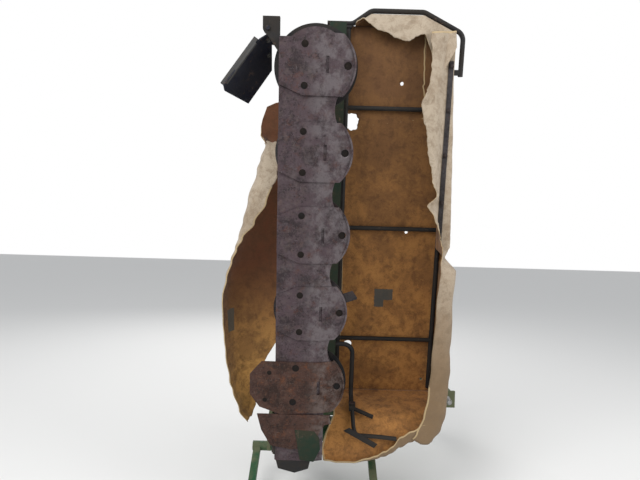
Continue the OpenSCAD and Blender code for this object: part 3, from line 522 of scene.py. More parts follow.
def make_materials():
    GROUPS.update(blotches=blotches_group(), scratches=scratches_group(), weave=weave_group(),
                  patch=patch_group())
    coat = bpy.context.scene.mower_finish
    green, black, steel = coat.green[:3], coat.black[:3], coat.steel[:3]
    inner, outer, hem = coat.canvas_inside[:3], coat.canvas_outside[:3], coat.canvas_hem[:3]
    # The inside colour high up, darkened as painted shade
    inside_top_shaded = tuple(a * b for a, b in zip(inner, INSIDE_TOP_SHADE))
    recipes = {
        # Colour, dust, chips, roughness, size of the blotches
        painted: (
            ("green paint", green, DUST),
            # A darker copy of the green paint as painted shade, for the beam between the covers and the guard
            # under the bar; its dust blotches are real
            ("dirty green", (0.009, 0.022, 0.012), (0.05, 0.038, 0.025), 0.4, 0.6),
            ("black paint", black, (0.04, 0.032, 0.024), 0.3, 0.5),
            ("navy board", (0.007, 0.009, 0.02), (0.03, 0.03, 0.032), 0.4, 0.5, 4.0),
            ("board edge", (0.045, 0.045, 0.046), (0.09, 0.085, 0.075), 0.4, 0.6, 8.0),
            # Near black: painted shade in the hollows of the skid bolts and of the holes in the skid noses
            ("dark pit", (0.006, 0.005, 0.005), (0.02, 0.014, 0.01), 0.2, 0.8, 20.0),
            ("yellow mark", (0.7, 0.5, 0.03), DUST, 0.3, 0.5, 9.0),
            ("guard plastic", (0.014, 0.014, 0.015), (0.1, 0.085, 0.06), 0.25, 0.55),
        ),
        # Colour, rust, rubbed grey, wear, size of the blotches, dust, bright tips
        rusty_steel: (
            ("worn steel", steel, (0.075, 0.028, 0.018), (0.14, 0.12, 0.125), 0.3, 9.0,
             (0.105, 0.078, 0.07), (-0.34, -0.24)),
            ("rusted shoe", (0.055, 0.026, 0.019), (0.14, 0.045, 0.014), (0.13, 0.1, 0.09), 0.22, 8.0,
             (0.09, 0.05, 0.034), (-0.3, -0.2)),
            ("disc steel", (0.035, 0.03, 0.031), (0.07, 0.03, 0.018), (0.1, 0.095, 0.1), 0.35, 9.0,
             (0.06, 0.05, 0.045)),
            ("pin steel", (0.32, 0.31, 0.3), (0.2, 0.11, 0.06), (0.55, 0.55, 0.55), 0.7, 12.0),
            ("cast housing", (0.06, 0.048, 0.04), (0.13, 0.08, 0.045), (0.1, 0.1, 0.1), 0.2, 8.0),
            ("fastener steel", (0.03, 0.022, 0.021), (0.08, 0.034, 0.02), (0.09, 0.08, 0.08), 0.3, 20.0,
             (0.06, 0.045, 0.04)),
        ),
        # Colour, colour high up, heights between them (the change between the two colours is painted shade),
        # stain, hem, share stained, patches on the cloth
        canvas: (
            ("canvas inside", inner, inside_top_shaded, (0.9, 2.7), STAIN, hem, 0.5),
            ("canvas inside front", inner, inside_top_shaded, (0.9, 2.7), STAIN, hem, 0.55, (
                (0.194, 0.253, 0.565, 0.682, GREY_PATCH),
                (0.252, 0.308, 0.611, 0.682, GREY_PATCH),
                (0.205, 0.333, 2.057, 2.164, PALE_PATCH),
                (0.085, 0.13, 2.09, 2.17, PALE_PATCH),
            )),
            # Inside the rear cover, the dark colour high up is painted shade
            ("canvas inside rear", (0.56, 0.3, 0.085), (0.12, 0.042, 0.018), (0.55, 1.5), STAIN, hem, 0.6,
             ((0.575, 0.632, 0.40, 0.54, (0.075, 0.075, 0.062)),)),
            # Outside, the dark colour low down is painted shade where the cloth hangs and curls under; its
            # stains are real
            ("canvas outside", (0.19, 0.125, 0.068), outer, (0.7, 1.65), (0.25, 0.17, 0.1), hem, 0.4),
            ("canvas edge", hem, hem, (0, 1), (0.3, 0.2, 0.1), hem, 0.3),
        ),
    }
    for recipe, rows in recipes.items():
        for row in rows:
            MATERIALS[row[0]] = recipe(*row)


# Pieces


def finish_piece(name, bm, finishes, body, place, sharp=40.0):
    """Makes an object of a bmesh, places its mesh and lets it ride on a body."""
    bmesh.ops.transform(bm, matrix=place, verts=bm.verts)
    mesh = bpy.data.meshes.new(name)
    bm.to_mesh(mesh)
    bm.free()
    for face in mesh.polygons:
        face.use_smooth = True
    mesh.set_sharp_from_angle(angle=math.radians(sharp))
    piece = bpy.data.objects.new(name, mesh)
    bpy.context.scene.collection.objects.link(piece)
    for finish in [finishes] if isinstance(finishes, str) else finishes:
        mesh.materials.append(MATERIALS[finish])
    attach(piece, body)
    return piece


def towards(direction):
    """Rotation that turns Z to a direction."""
    return Vector(UP).rotation_difference(Vector(direction)).to_matrix().to_4x4()


def edges_of(verts):
    return list({edge for vert in verts for edge in vert.link_edges})


def bevel(bm, edges, width):
    bmesh.ops.bevel(bm, geom=edges, offset=width, segments=2, profile=0.5, affect="EDGES", material=-1)


def add_disc(bm, at, direction, radius, height, sides=24, chamfer=0.0):
    """A round or many-sided head that stands on a point, its upper edge chamfered."""
    stand = Matrix.Translation(Vector(at)) @ towards(direction)
    made = bmesh.ops.create_cone(bm, cap_ends=True, segments=sides, radius1=radius, radius2=radius,
                                 depth=height, matrix=stand @ Matrix.Translation((0, 0, height / 2)))
    if chamfer:
        level = stand.inverted()
        bevel(bm, [e for e in edges_of(made["verts"])
                   if all((level @ v.co).z > height * 0.9 for v in e.verts)], chamfer)


def add_bolt(bm, at, direction, size, washer=True):
    """Hex bolt head with its washer. size is the width over the corners, halved."""
    direction = Vector(direction).normalized()
    at = Vector(at)
    if washer:
        add_disc(bm, at, direction, size * 1.35, size * 0.2, 24)
        at = at + direction * size * 0.2
    add_disc(bm, at, direction, size, size * 0.75, 6, size * 0.12)
    add_disc(bm, at + direction * size * 0.7, direction, size * 0.52, size * 0.35, 16, size * 0.08)


def add_flat_head(bm, at, radius):
    """Countersunk head that lies just proud of the plate it faces down from."""
    at = Vector(at)
    add_disc(bm, at + Vector((0, 0, 0.0002)), DOWN, radius * 1.3, 0.0018, 28, 0.0006)
    add_disc(bm, at + Vector((0, 0, 0.0004)), DOWN, radius * 0.7, 0.0034, 20, 0.0008)


def add_plate(bm, outline, low, high, chamfer):
    """A flat plate: an outline in x and y, carried from low to high in z."""
    verts = [bm.verts.new((x, y, low)) for x, y in outline]
    face = bm.faces.new(verts)
    face.normal_update()
    if face.normal.z > 0:
        bmesh.ops.reverse_faces(bm, faces=[face])
    raised = bmesh.ops.extrude_face_region(bm, geom=[face])
    top = [v for v in raised["geom"] if isinstance(v, bmesh.types.BMVert)]
    bmesh.ops.translate(bm, vec=(0, 0, high - low), verts=top)
    bevel(bm, list(bm.edges), chamfer)


def add_box(bm, x, y, z, chamfer):
    """A block between two corners, its edges bevelled."""
    low, high = (Vector(corner) for corner in zip(x, y, z))
    made = bmesh.ops.create_cube(bm, size=1.0, matrix=(
        Matrix.Translation((low + high) / 2) @ Matrix.Diagonal((*(high - low), 1))))
    bevel(bm, edges_of(made["verts"]), chamfer)


def add_ring(bm, centre, axis, radius, thickness, segments):
    """A round bar bent to a full ring about an axis through a centre."""
    side = (towards(axis) @ Vector((1, 0, 0))).normalized()
    place = (Matrix.Translation(Vector(centre) + side * radius) @ towards(Vector(axis).cross(side)))
    made = bmesh.ops.create_circle(bm, cap_ends=False, segments=10, radius=thickness, matrix=place)
    bmesh.ops.spin(bm, geom=list(made["verts"]) + edges_of(made["verts"]), cent=centre, axis=axis,
                   dvec=(0, 0, 0), angle=math.tau, steps=segments, use_merge=True, use_duplicate=False)


def add_tube(bm, points, radius, sides=16):
    """A bent round tube along a rounded path, its ends closed."""
    path = rounded_path([Vector(p) for p in points])
    last = len(path) - 1
    before = None
    for i, at in enumerate(path):
        heading = path[min(i + 1, last)] - path[max(i - 1, 0)]
        made = bmesh.ops.create_circle(bm, cap_ends=i in (0, last), segments=sides, radius=radius,
                                       matrix=Matrix.Translation(at) @ towards(heading))
        ring = edges_of(made["verts"])
        if before:
            bmesh.ops.bridge_loops(bm, edges=before + ring)
        before = ring
    bmesh.ops.recalc_face_normals(bm, faces=bm.faces)


def add_bead(bm, points, radius):
    """A weld bead: overlapping lumps along a line, every other one a little smaller."""
    for a, b in zip(points, points[1:]):
        a, b = Vector(a), Vector(b)
        count = max(2, int((b - a).length / (radius * 1.1)))
        for i in range(count):
            bmesh.ops.create_icosphere(bm, subdivisions=1, radius=radius, matrix=(
                Matrix.Translation(a.lerp(b, (i + 0.5) / count)) @ Matrix.Scale(1.0 if i % 2 else 0.92, 4)))


def mend_normals(bm):
    bmesh.ops.remove_doubles(bm, verts=bm.verts, dist=1e-6)
    bmesh.ops.recalc_face_normals(bm, faces=bm.faces)


def cloth(name, lengths, point, body, node, inside, inward, edge_of, holes=(), wall=None, finer=1.0):
    """A sheet made as a fine grid whose points are moved to their places.

    point(s, t) gives a place about the fold pivot in metres, and the two lengths of the cloth's own map.
    """
    settings = bpy.context.scene.mower_cover
    cell = settings.cell * finer
    bm = bmesh.new()
    bmesh.ops.create_grid(bm, x_segments=int(lengths[0] / cell), y_segments=int(lengths[1] / cell), size=0.5)
    cloth_map = bm.loops.layers.uv.new("cloth")
    edge_map = bm.loops.layers.uv.new("edges")
    bm.verts.ensure_lookup_table()
    facts = {}
    for v in bm.verts:
        s, t = v.co.x + 0.5, v.co.y + 0.5
        place, u, w = point(s, t)
        facts[v.index] = (u, w, edge_of(s, t, u, w))
        v.co = place
    gone = [f for f in bm.faces if any((f.calc_center_median() - Vector(c)).length < r for c, r in holes)]
    bmesh.ops.delete(bm, geom=gone, context="FACES")
    for face in bm.faces:
        for loop in face.loops:
            u, w, edge = facts[loop.vert.index]
            loop[cloth_map].uv = (u, w)
            loop[edge_map].uv = (edge, 0)
    for centre, radius in holes:
        centre = Vector(centre)
        for v in bm.verts:
            away = v.co - centre
            if v.is_boundary and away.length < radius * 1.8:
                v.co = centre + away.normalized() * radius * (1 + 0.25 * ripple(v.co.x, v.co.y, 0.02))
    bm.normal_update()
    total = sum((f.normal * f.calc_area() for f in bm.faces), Vector())
    if total.dot(Vector(inward)) < 0:
        bmesh.ops.reverse_faces(bm, faces=bm.faces)
    area = sum(f.calc_area() for f in bm.faces)
    piece = finish_piece(name, bm, (inside, "canvas outside", "canvas edge"), body, FOLDED, 80)
    layer = piece.modifiers.new("Thickness", "SOLIDIFY")
    layer.thickness = wall or settings.thickness
    layer.offset = -1
    layer.use_even_offset = False
    layer.material_offset = 1
    layer.material_offset_rim = 2
    if node:
        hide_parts(node)


def front_place(s, t):
    """Front cover: over its rails, down and curled in to the hem. The strip clamps its outer half."""
    inner_end = edge_at(FRONT_INNER_EDGE, s)
    outer_end = -2.404 + max(0.0, s - 0.66) * 0.12
    y = inner_end + (outer_end - inner_end) * t
    out_x, out_z, hem_x, hem_z = metres_at(FRONT_SECTIONS, y)
    loose_x, torn_x, torn_z = metres_at(STRIP_SECTIONS, y)
    torn_x += 0.010 * ripple(y, 3.1, 0.05) + 0.006 * ripple(y, 7.7, 0.014)
    hem_x += 0.002 * ripple(y, 1.0, 0.08)
    hung = [
        (0.7868, 0.168), (0.7868, 0.141), ((0.787 + out_x) / 2, (0.13 + out_z) / 2 + 0.02), (out_x, out_z),
        (out_x - 0.018, min(out_z - 0.045, hem_z + 0.02)), (hem_x, hem_z)]
    strapped = [
        (loose_x, 0.180), (loose_x - 0.006, 0.165), (0.774, 0.1662), (0.742, 0.1668),
        ((0.742 + torn_x) / 2 + 0.008, (0.150 + torn_z) / 2 - 0.012), (torn_x, torn_z)]
    under = clamped((-1.04 - y) / 0.09)
    lower = [Vector((a[0], 0, a[1])).lerp(Vector((b[0], 0, b[1])), under) for a, b in zip(hung, strapped)]
    corner = 0.7865 + (loose_x - 0.7925) * under
    path = rounded_path([Vector((x, 0, z)) for x, z in (
        (0.128, 0.1996), (0.5, 0.1996), (0.772, 0.1996), (corner, 0.1975))] + lower)
    at, total = along(path, s)
    loose = clamped((s * total - 0.76) / 0.12)
    at = Vector((at.x, y, at.z + abs(0.0012 * ripple(at.x, y, 0.22, 2.0))))
    if loose:
        at.x += loose * (0.007 * ripple(y, at.z, 0.17, 5.0) + 0.003 * ripple(y, at.z, 0.06, 9.0))
        at.z += loose * 0.006 * ripple(y, at.x, 0.13, 4.0)
    return at, s * total, -0.166 - y


def rear_place(s, t):
    """Rear cover: from the beam rearwards, down and curled forwards at the hem."""
    inner_end = edge_at(REAR_INNER_EDGE, s) + 0.004 * ripple(s, 2.2, 0.05)
    outer_end = edge_at(REAR_OUTER_EDGE, s) + 0.012 * ripple(s, 6.1, 0.04)
    y = inner_end + (outer_end - inner_end) * t
    left, hem_x, hem_z = metres_at(REAR_SECTIONS, y)
    if y < -1.5:
        hem_x += 0.012 * ripple(y, 1.4, 0.05) + 0.006 * ripple(y, 4.4, 0.015)
    path = rounded_path([Vector((x, 0, z)) for x, z in (
        (0.087, 0.1412), (0.055, 0.1412), (left * 0.5, 0.1412), (left * 0.86, 0.112), (left * 0.985, 0.05),
        (left, hem_z * 0.35), ((left * 2 + hem_x) / 3, hem_z * 0.92), (hem_x, hem_z))])
    at, total = along(path, s)
    loose = clamped((s * total - 0.12) / 0.2)
    at = Vector((at.x, y, at.z))
    at.x += loose * (0.008 * ripple(y, at.z, 0.24, 1.0) + 0.003 * ripple(y, at.z, 0.07, 3.0))
    at.z += loose * (0.005 * ripple(y, at.x, 0.2, 6.0) + 0.002 * ripple(y, at.x, 0.06, 8.0))
    return at, s * total, -0.2 - y


def inner_place(s, t):
    """Inner curtain: stands out from the cover's end, droops and turns up at its hem."""
    left = edge_at(CURTAIN_EDGE, s)
    x = left + (0.775 - left) * t
    turn, hem, low = metres_at(INNER_SECTIONS, x)
    path = rounded_path([Vector((0, y, z)) for y, z in (
        (-0.169, 0.1965), (-0.166, 0.03), (-0.158, -0.072), (-0.118, -0.12), (-0.04 + min(0.0, turn), -0.166),
        (turn, low + 0.012), (turn + 0.004, low - 0.006), (hem, low - 0.012))])
    at, total = along(path, s)
    loose = clamped((s - 0.4) / 0.3)
    at = Vector((x, at.y, at.z))
    at.y += loose * (0.008 * ripple(x, at.z, 0.12, 2.0) + 0.003 * ripple(x, at.z, 0.05, 4.0))
    at.z += loose * 0.006 * ripple(x, at.y, 0.11, 7.0)
    at.x += loose * 0.01 * ripple(at.y, at.z, 0.1, 1.0)
    return at, s * total, x - 0.084


def flap_place(s, t):
    """Flap that turns back inside the hoop and hangs torn."""
    x = 0.212 + (0.786 - 0.212) * t
    hoop_y = metres_at(HOOP_LINE, x)[0]
    tear = metres_at(FLAP_TEAR, x)[0]
    tear = max(tear, hoop_y + 0.02) + 0.008 * ripple(x, 2.0, 0.02) + 0.004 * ripple(x, 5.0, 0.008)
    path = rounded_path([Vector((0, y, z)) for y, z in (
        (-2.34, 0.2036), (hoop_y + 0.05, 0.2036), (hoop_y + 0.02, 0.2016), (hoop_y + 0.018, 0.176),
        (hoop_y + 0.034, 0.166), (tear - (tear - hoop_y) * 0.4, 0.152), (tear, 0.140))])
    at, total = along(path, s)
    loose = clamped((s - 0.55) / 0.45)
    at = Vector((x, at.y, at.z))
    at.z += loose * (0.006 * ripple(x, at.y, 0.08, 3.0) - 0.004)
    return at, s * total, x - 0.212


# Add-on parts


def colour_property(name, description, *colour):
    return bpy.props.FloatVectorProperty(
        name=name, description=description, subtype="COLOR", size=4, min=0, max=1, default=(*colour, 1))


def length_property(name, description, default, low, high):
    return bpy.props.FloatProperty(
        name=name, description=description, default=default, min=low, max=high, unit="LENGTH")


class FinishSettings(bpy.types.PropertyGroup):
    green: colour_property("Green paint", "Colour of the frame's paint", 0.016, 0.075, 0.03)
    black: colour_property("Black paint", "Colour of tubes and drums", 0.011, 0.011, 0.012)
    steel: colour_property("Bar and skids", "Colour of the rusty ground steel", 0.06, 0.04, 0.046)
    canvas_inside: colour_property("Canvas inside", "Stained inner face of the covers", 0.44, 0.2, 0.056)
    canvas_outside: colour_property("Canvas outside", "Pale outer face of the covers", 0.44, 0.36, 0.27)
    canvas_hem: colour_property("Canvas hem", "Sewn edge of the covers", 0.5, 0.37, 0.2)


class CoverSettings(bpy.types.PropertyGroup):
    thickness: length_property("Canvas thickness", "Thickness of the coated canvas", 0.003, 0.001, 0.008)
    cell: length_property("Grid cell", "Distance between two points of a cover's grid", 0.011, 0.006, 0.04)


class FastenerSettings(bpy.types.PropertyGroup):
    skid_bolt: length_property("Skid bolt", "Radius of the flat heads under the skids", 0.0125, 0.006, 0.02)
    strip_bolt: length_property("Strip bolt", "Half width of the strip's bolt heads", 0.011, 0.006, 0.02)


class StageSettings(bpy.types.PropertyGroup):
    camera: bpy.props.FloatVectorProperty(
        name="Camera place", description="Where the camera stands", subtype="TRANSLATION", unit="LENGTH",
        size=3, default=(-0.2305, -3.3025, 1.588))
    roll: bpy.props.FloatProperty(
        name="Camera roll", description="How far the camera leans", subtype="ANGLE",
        default=math.radians(1.6))
    lens: bpy.props.FloatProperty(
        name="Focal length", description="For a 36 mm wide picture", default=27.0, min=10, max=100)
    lamp: bpy.props.FloatProperty(
        name="Lamp power", description="Power of the large main lamp", default=330.0, min=0, max=3000,
        unit="POWER")


class MOWER_OT_materials(bpy.types.Operator):
    """Make the finishes and give each carried-over part its own"""
    bl_idname = "mower.materials"
    bl_label = "Finishes"

    FINISHES = {
        "green paint": ("headstock", "head_stand", "swing_arm", "outer_stand", "hanger"),
        # The beam takes the green darkened as painted shade
        "dirty green": ("cover_beam",),
        "black paint": ("lift_barrel", "inner_tube", "front_frame", "outer_hoop", "board_bracket",
                        "disc_1", "disc_5"),
        "navy board": ("swath_board",),
        "worn steel": ("cutter_bar", "skids", "outer_shoe"),
        "rusted shoe": ("inner_shoe",),
        "disc steel": ("disc_2", "disc_3", "disc_4", "front_strip"),
        "pin steel": ("hitch_pins", "king_pin", "lift_rod", "input_shaft"),
        "cast housing": ("bar_gearbox", "drive_tube"),
        "guard plastic": ("belt_guard", "shaft_guard"),
        "canvas inside": ("front_canvas", "rear_canvas", "inner_canvas"),
    }

    def execute(self, context):
        make_materials()
        for finish, names in self.FINISHES.items():
            for name in names:
                slots = NODES[name].data.materials
                slots.clear()
                slots.append(MATERIALS[finish])
        return {"FINISHED"}


class MOWER_OT_front_cover(bpy.types.Operator):
    """Hang the front cover over its rails, torn short at its outer half"""
    bl_idname = "mower.front_cover"
    bl_label = "Front cover"

    def execute(self, context):
        holes = [
            ((0.497, -2.093, 0.2), 0.011), ((0.572, -1.216, 0.2), 0.010), ((0.725, -0.25, 0.2), 0.009),
            ((0.206, -1.868, 0.2), 0.047), ((0.238, -0.478, 0.2), 0.024),
        ]
        cloth("front_cover", (1.13, 2.24), front_place, "front_guard", "front_canvas", "canvas inside front",
              (-0.4, 0, -1), lambda s, t, u, w: min((1 - s) * 1.1, (1 - t) * 2.2), holes)
        return {"FINISHED"}


class MOWER_OT_hoop_flap(bpy.types.Operator):
    """Wrap the torn end flap over the hoop"""
    bl_idname = "mower.hoop_flap"
    bl_label = "Hoop flap"

    def execute(self, context):
        cloth("hoop_flap", (0.34, 0.58), flap_place, "front_guard", None, "canvas inside", (0, 1, 0),
              lambda s, t, u, w: 1.0, wall=0.0025, finer=0.8)
        return {"FINISHED"}


class MOWER_OT_rear_cover(bpy.types.Operator):
    """Hang the rear cover from the beam, bellied out behind"""
    bl_idname = "mower.rear_cover"
    bl_label = "Rear cover"

    def execute(self, context):
        cloth("rear_cover", (0.78, 2.2), rear_place, "cutter_unit", "rear_canvas", "canvas inside rear",
              (0.4, 0, -1), lambda s, t, u, w: (1 - s) * 0.75 if w < 1.3 else 1.0,
              [((-0.30, -1.79, 0.04), 0.03), ((-0.27, -1.83, 0.09), 0.02)])
        return {"FINISHED"}


class MOWER_OT_inner_curtain(bpy.types.Operator):
    """Hang the curtain at the inner end"""
    bl_idname = "mower.inner_curtain"
    bl_label = "Inner curtain"

    def execute(self, context):
        cloth("inner_curtain", (0.62, 0.7), inner_place, "cutter_unit", "inner_canvas", "canvas inside",
              (0, -1, 0.2), lambda s, t, u, w: min((1 - s) * 0.55, t * 0.6))
        return {"FINISHED"}


class MOWER_OT_skid_bolts(bpy.types.Operator):
    """Set flat bolt heads under the skids and shoes, and sink a cup in each nose, both near black as painted
    shade in their hollows
    """
    bl_idname = "mower.skid_bolts"
    bl_label = "Skid bolts"

    def execute(self, context):
        radius = context.scene.mower_fasteners.skid_bolt
        bm = bmesh.new()
        for y in DISC_YS[1:]:
            for side in (-0.088 if y == DISC_YS[-1] else -0.096, 0.096):
                add_flat_head(bm, (-0.051, y + side, GROUND), radius)
        shoe, inner = GROUND, BAR_BOTTOM - 0.001
        for x, y, z, size in (
            (-0.065, -0.588, shoe, 1.1), (-0.077, -0.4, shoe, 1.1), (-0.222, -0.41, shoe, 0.7),
            (-0.2, -0.56, shoe, 0.7), (-0.03, -0.2, inner, 0.8), (-0.17, -0.19, inner, 0.8),
        ):
            add_flat_head(bm, (x, y, z), radius * size)
        finish_piece("skid_bolts", bm, "dark pit", "cutter_unit", FOLDED)
        bm = bmesh.new()
        # A near-black cup in each nose hole stands in for the shade inside it
        cup_z = GROUND + (CUP_X - RIDGE_X) * NOSE_SLOPE + SKID_WALL - 0.003
        for y in DISC_YS:
            add_disc(bm, (CUP_X, y, cup_z), (-NOSE_SLOPE, 0, 1), 0.0172, 0.004)
        finish_piece("nose_cups", bm, "dark pit", "cutter_unit", FOLDED)
        return {"FINISHED"}


class MOWER_OT_bar_bolts(bpy.types.Operator):
    """Cap each bearing on top of the bar, and bolt the bar's rear rim"""
    bl_idname = "mower.bar_bolts"
    bl_label = "Bar bolts"

    def execute(self, context):
        bm = bmesh.new()
        for y in DISC_YS:
            add_disc(bm, (-0.098, y, BAR_TOP - 0.0005), UP, 0.032, 0.002, 32, 0.0006)
            add_disc(bm, (-0.098, y, BAR_TOP), UP, 0.012, 0.0032, 6, 0.0006)
        for k in range(14):
            add_disc(bm, (-0.153, -0.26 - k * 0.14, BAR_TOP - 0.0005), UP, 0.009, 0.0035, 6, 0.0008)
        finish_piece("bar_bolts", bm, "fastener steel", "cutter_unit", FOLDED)
        return {"FINISHED"}


class MOWER_OT_disc_bolts(bpy.types.Operator):
    """Put the hub nut, hub bolts and knife nuts on each disc"""
    bl_idname = "mower.disc_bolts"
    bl_label = "Disc bolts"

    def execute(self, context):
        for k, y in enumerate(DISC_YS):
            height, ring = DRUMS.get(k, (DISC_HEIGHT, None))
            top = BAR_TOP + 0.020 + height
            bm = bmesh.new()
            add_disc(bm, (0, 0, top), UP, 0.040, 0.006, 40, 0.002)
            add_disc(bm, (0, 0, top + 0.006), UP, 0.024, 0.016, 6, 0.003)
            add_disc(bm, (0, 0, top + 0.020), UP, 0.012, 0.008, 20, 0.002)
            for x, across in on_circle(ring, SIXTHS) if ring else ():
                add_bolt(bm, (x, across, top), UP, 0.009, False)
            turned = math.radians(-20 if k % 2 else 110)
            for x, across in on_circle(KNIFE_CIRCLE, (turned, turned + math.pi)):
                add_disc(bm, (x, across, BAR_TOP + 0.009), DOWN, 0.015, 0.003, 24, 0.001)
            finish_piece(f"disc_{k + 1}_bolts", bm, "fastener steel", f"disc_{k + 1}",
                         FOLDED @ Matrix.Translation((0, y, 0)))
        return {"FINISHED"}


class MOWER_OT_strip_bolts(bpy.types.Operator):
    """Bolt the steel strip through the front cover"""
    bl_idname = "mower.strip_bolts"
    bl_label = "Strip bolts"

    def execute(self, context):
        bm = bmesh.new()
        for y in (-2.19, -1.943, -1.684, -1.405, -1.165):
            add_bolt(bm, (0.7677, y, 0.1575), DOWN, context.scene.mower_fasteners.strip_bolt)
        finish_piece("strip_bolts", bm, "fastener steel", "front_guard", FOLDED)
        return {"FINISHED"}


class MOWER_OT_hinge_fittings(bpy.types.Operator):
    """Fit the front guard's hinge pins with washers and rings, and bolt its outer corners"""
    bl_idname = "mower.hinge_fittings"
    bl_label = "Hinge fittings"

    def execute(self, context):
        bm = bmesh.new()
        for y in HINGE_YS:
            for side in (-1, 1):
                face = y + side * 0.0192
                add_disc(bm, (HINGE_X, face, HINGE_Z), (0, side, 0), 0.017, 0.0025)
                add_ring(bm, (HINGE_X, face + side * 0.0045, HINGE_Z), (0, 1, 0), 0.0125, 0.0016, 20)
        add_bolt(bm, (0.172, -2.397, 0.1955), UP, 0.009)
        add_bolt(bm, (0.806, -2.160, 0.1885), UP, 0.008)
        mend_normals(bm)
        finish_piece("hinge_fittings", bm, "fastener steel", "front_guard", FOLDED)
        return {"FINISHED"}


class MOWER_OT_tube_clamp(bpy.types.Operator):
    """Clamp the inner bow with a bolted pipe clamp, bend its far half and lay its flat handle"""
    bl_idname = "mower.tube_clamp"
    bl_label = "Tube clamp"

    def execute(self, context):
        bm = bmesh.new()
        add_disc(bm, (0.262, -0.1833, -0.070), UP, 0.0185, 0.036, 32, 0.002)
        add_box(bm, (0.242, 0.282), (-0.2075, -0.2005), (-0.066, -0.038), 0.0015)
        for x in (0.248, 0.276):
            add_bolt(bm, (x, -0.2075, -0.052), (0, -1, 0), 0.006, False)
        finish_piece("tube_clamp", bm, "disc steel", "cutter_unit", FOLDED)
        bm = bmesh.new()
        add_tube(bm, [(0.262, -0.183, -0.07), (0.264, -0.150, -0.130), (0.268, -0.100, -0.170),
                      (0.285, -0.078, -0.190), (0.339, -0.082, -0.200), (0.420, -0.078, -0.200),
                      (0.513, -0.068, -0.200)], 0.012)
        finish_piece("inner_bow", bm, "black paint", "cutter_unit", FOLDED)
        bm = bmesh.new()
        add_plate(bm, [(0.205, -0.118), (0.239, -0.138), (0.405, -0.040), (0.386, -0.014)],
                  -0.2145, -0.2105, 0.001)
        finish_piece("bow_handle", bm, "black paint", "cutter_unit", FOLDED)
        return {"FINISHED"}


class MOWER_OT_gearbox_fittings(bpy.types.Operator):
    """Rib the inner gearbox and bolt its cover"""
    bl_idname = "mower.gearbox_fittings"
    bl_label = "Gearbox fittings"

    def execute(self, context):
        bm = bmesh.new()
        low, high = BAR_TOP + 0.004, BAR_TOP + 0.172
        for x in (-0.165, -0.125, -0.085, -0.045, -0.005):
            add_box(bm, (x - 0.005, x + 0.005), (GEARBOX_WALL, GEARBOX_WALL + 0.01),
                    (low + 0.012, high - 0.02), 0.0015)
        add_box(bm, (-0.186, 0.044), (GEARBOX_WALL, GEARBOX_WALL + 0.006), (low, low + 0.012), 0.0015)
        for x in (-0.178, -0.105, -0.025, 0.036):
            for y, z in ((GEARBOX_WALL + 0.006, low + 0.006), (GEARBOX_WALL, high - 0.008)):
                add_bolt(bm, (x, y, z), (0, 1, 0), 0.009, False)
        for y, z in on_circle(0.042, SIXTHS, (-0.136, BAR_TOP + 0.09)):
            add_bolt(bm, (-0.196, y, z), (-1, 0, 0), 0.006, False)
        finish_piece("gearbox_fittings", bm, "cast housing", "cutter_unit", FOLDED)
        return {"FINISHED"}


class MOWER_OT_inner_end(bpy.types.Operator):
    """Lay the guard plates under the bar's inner end"""
    bl_idname = "mower.inner_end"
    bl_label = "Inner end plates"

    PLATES = (
        ("shoe_layer", "rusted shoe", "worn_steel", (GROUND - 0.0016, GROUND + 0.004),
         [(-0.214, -0.330), (0.060, -0.330), (0.118, -0.316), (0.127, -0.283), (-0.035, -0.249),
          (-0.214, -0.272)]),
        ("end_cover", "rusted shoe", "cast_housing", (GROUND - 0.0016, GROUND + 0.004),
         [(-0.204, -0.251), (-0.067, -0.249), (-0.049, -0.134), (-0.167, -0.150)]),
        # The end guard takes the green darkened as painted shade
        ("end_guard", "dirty green", "green_paint", (GROUND - 0.0012, GROUND + 0.004),
         [(-0.064, -0.244), (0.040, -0.238), (0.066, -0.200), (0.073, -0.134), (0.040, -0.060),
          (-0.034, -0.070)]),
        ("end_foot", "black paint", "black_paint", (BAR_BOTTOM + 0.001, BAR_BOTTOM + 0.03),
         [(-0.186, -0.155), (-0.150, -0.010), (-0.060, 0.014), (0.012, -0.012), (0.030, -0.100),
          (-0.040, -0.160)]),
    )

    def execute(self, context):
        for name, finish, slot, (low, high), outline in self.PLATES:
            bm = bmesh.new()
            add_plate(bm, outline, low, high, 0.0015)
            finish_piece(name, bm, finish, "cutter_unit", FOLDED)
        return {"FINISHED"}


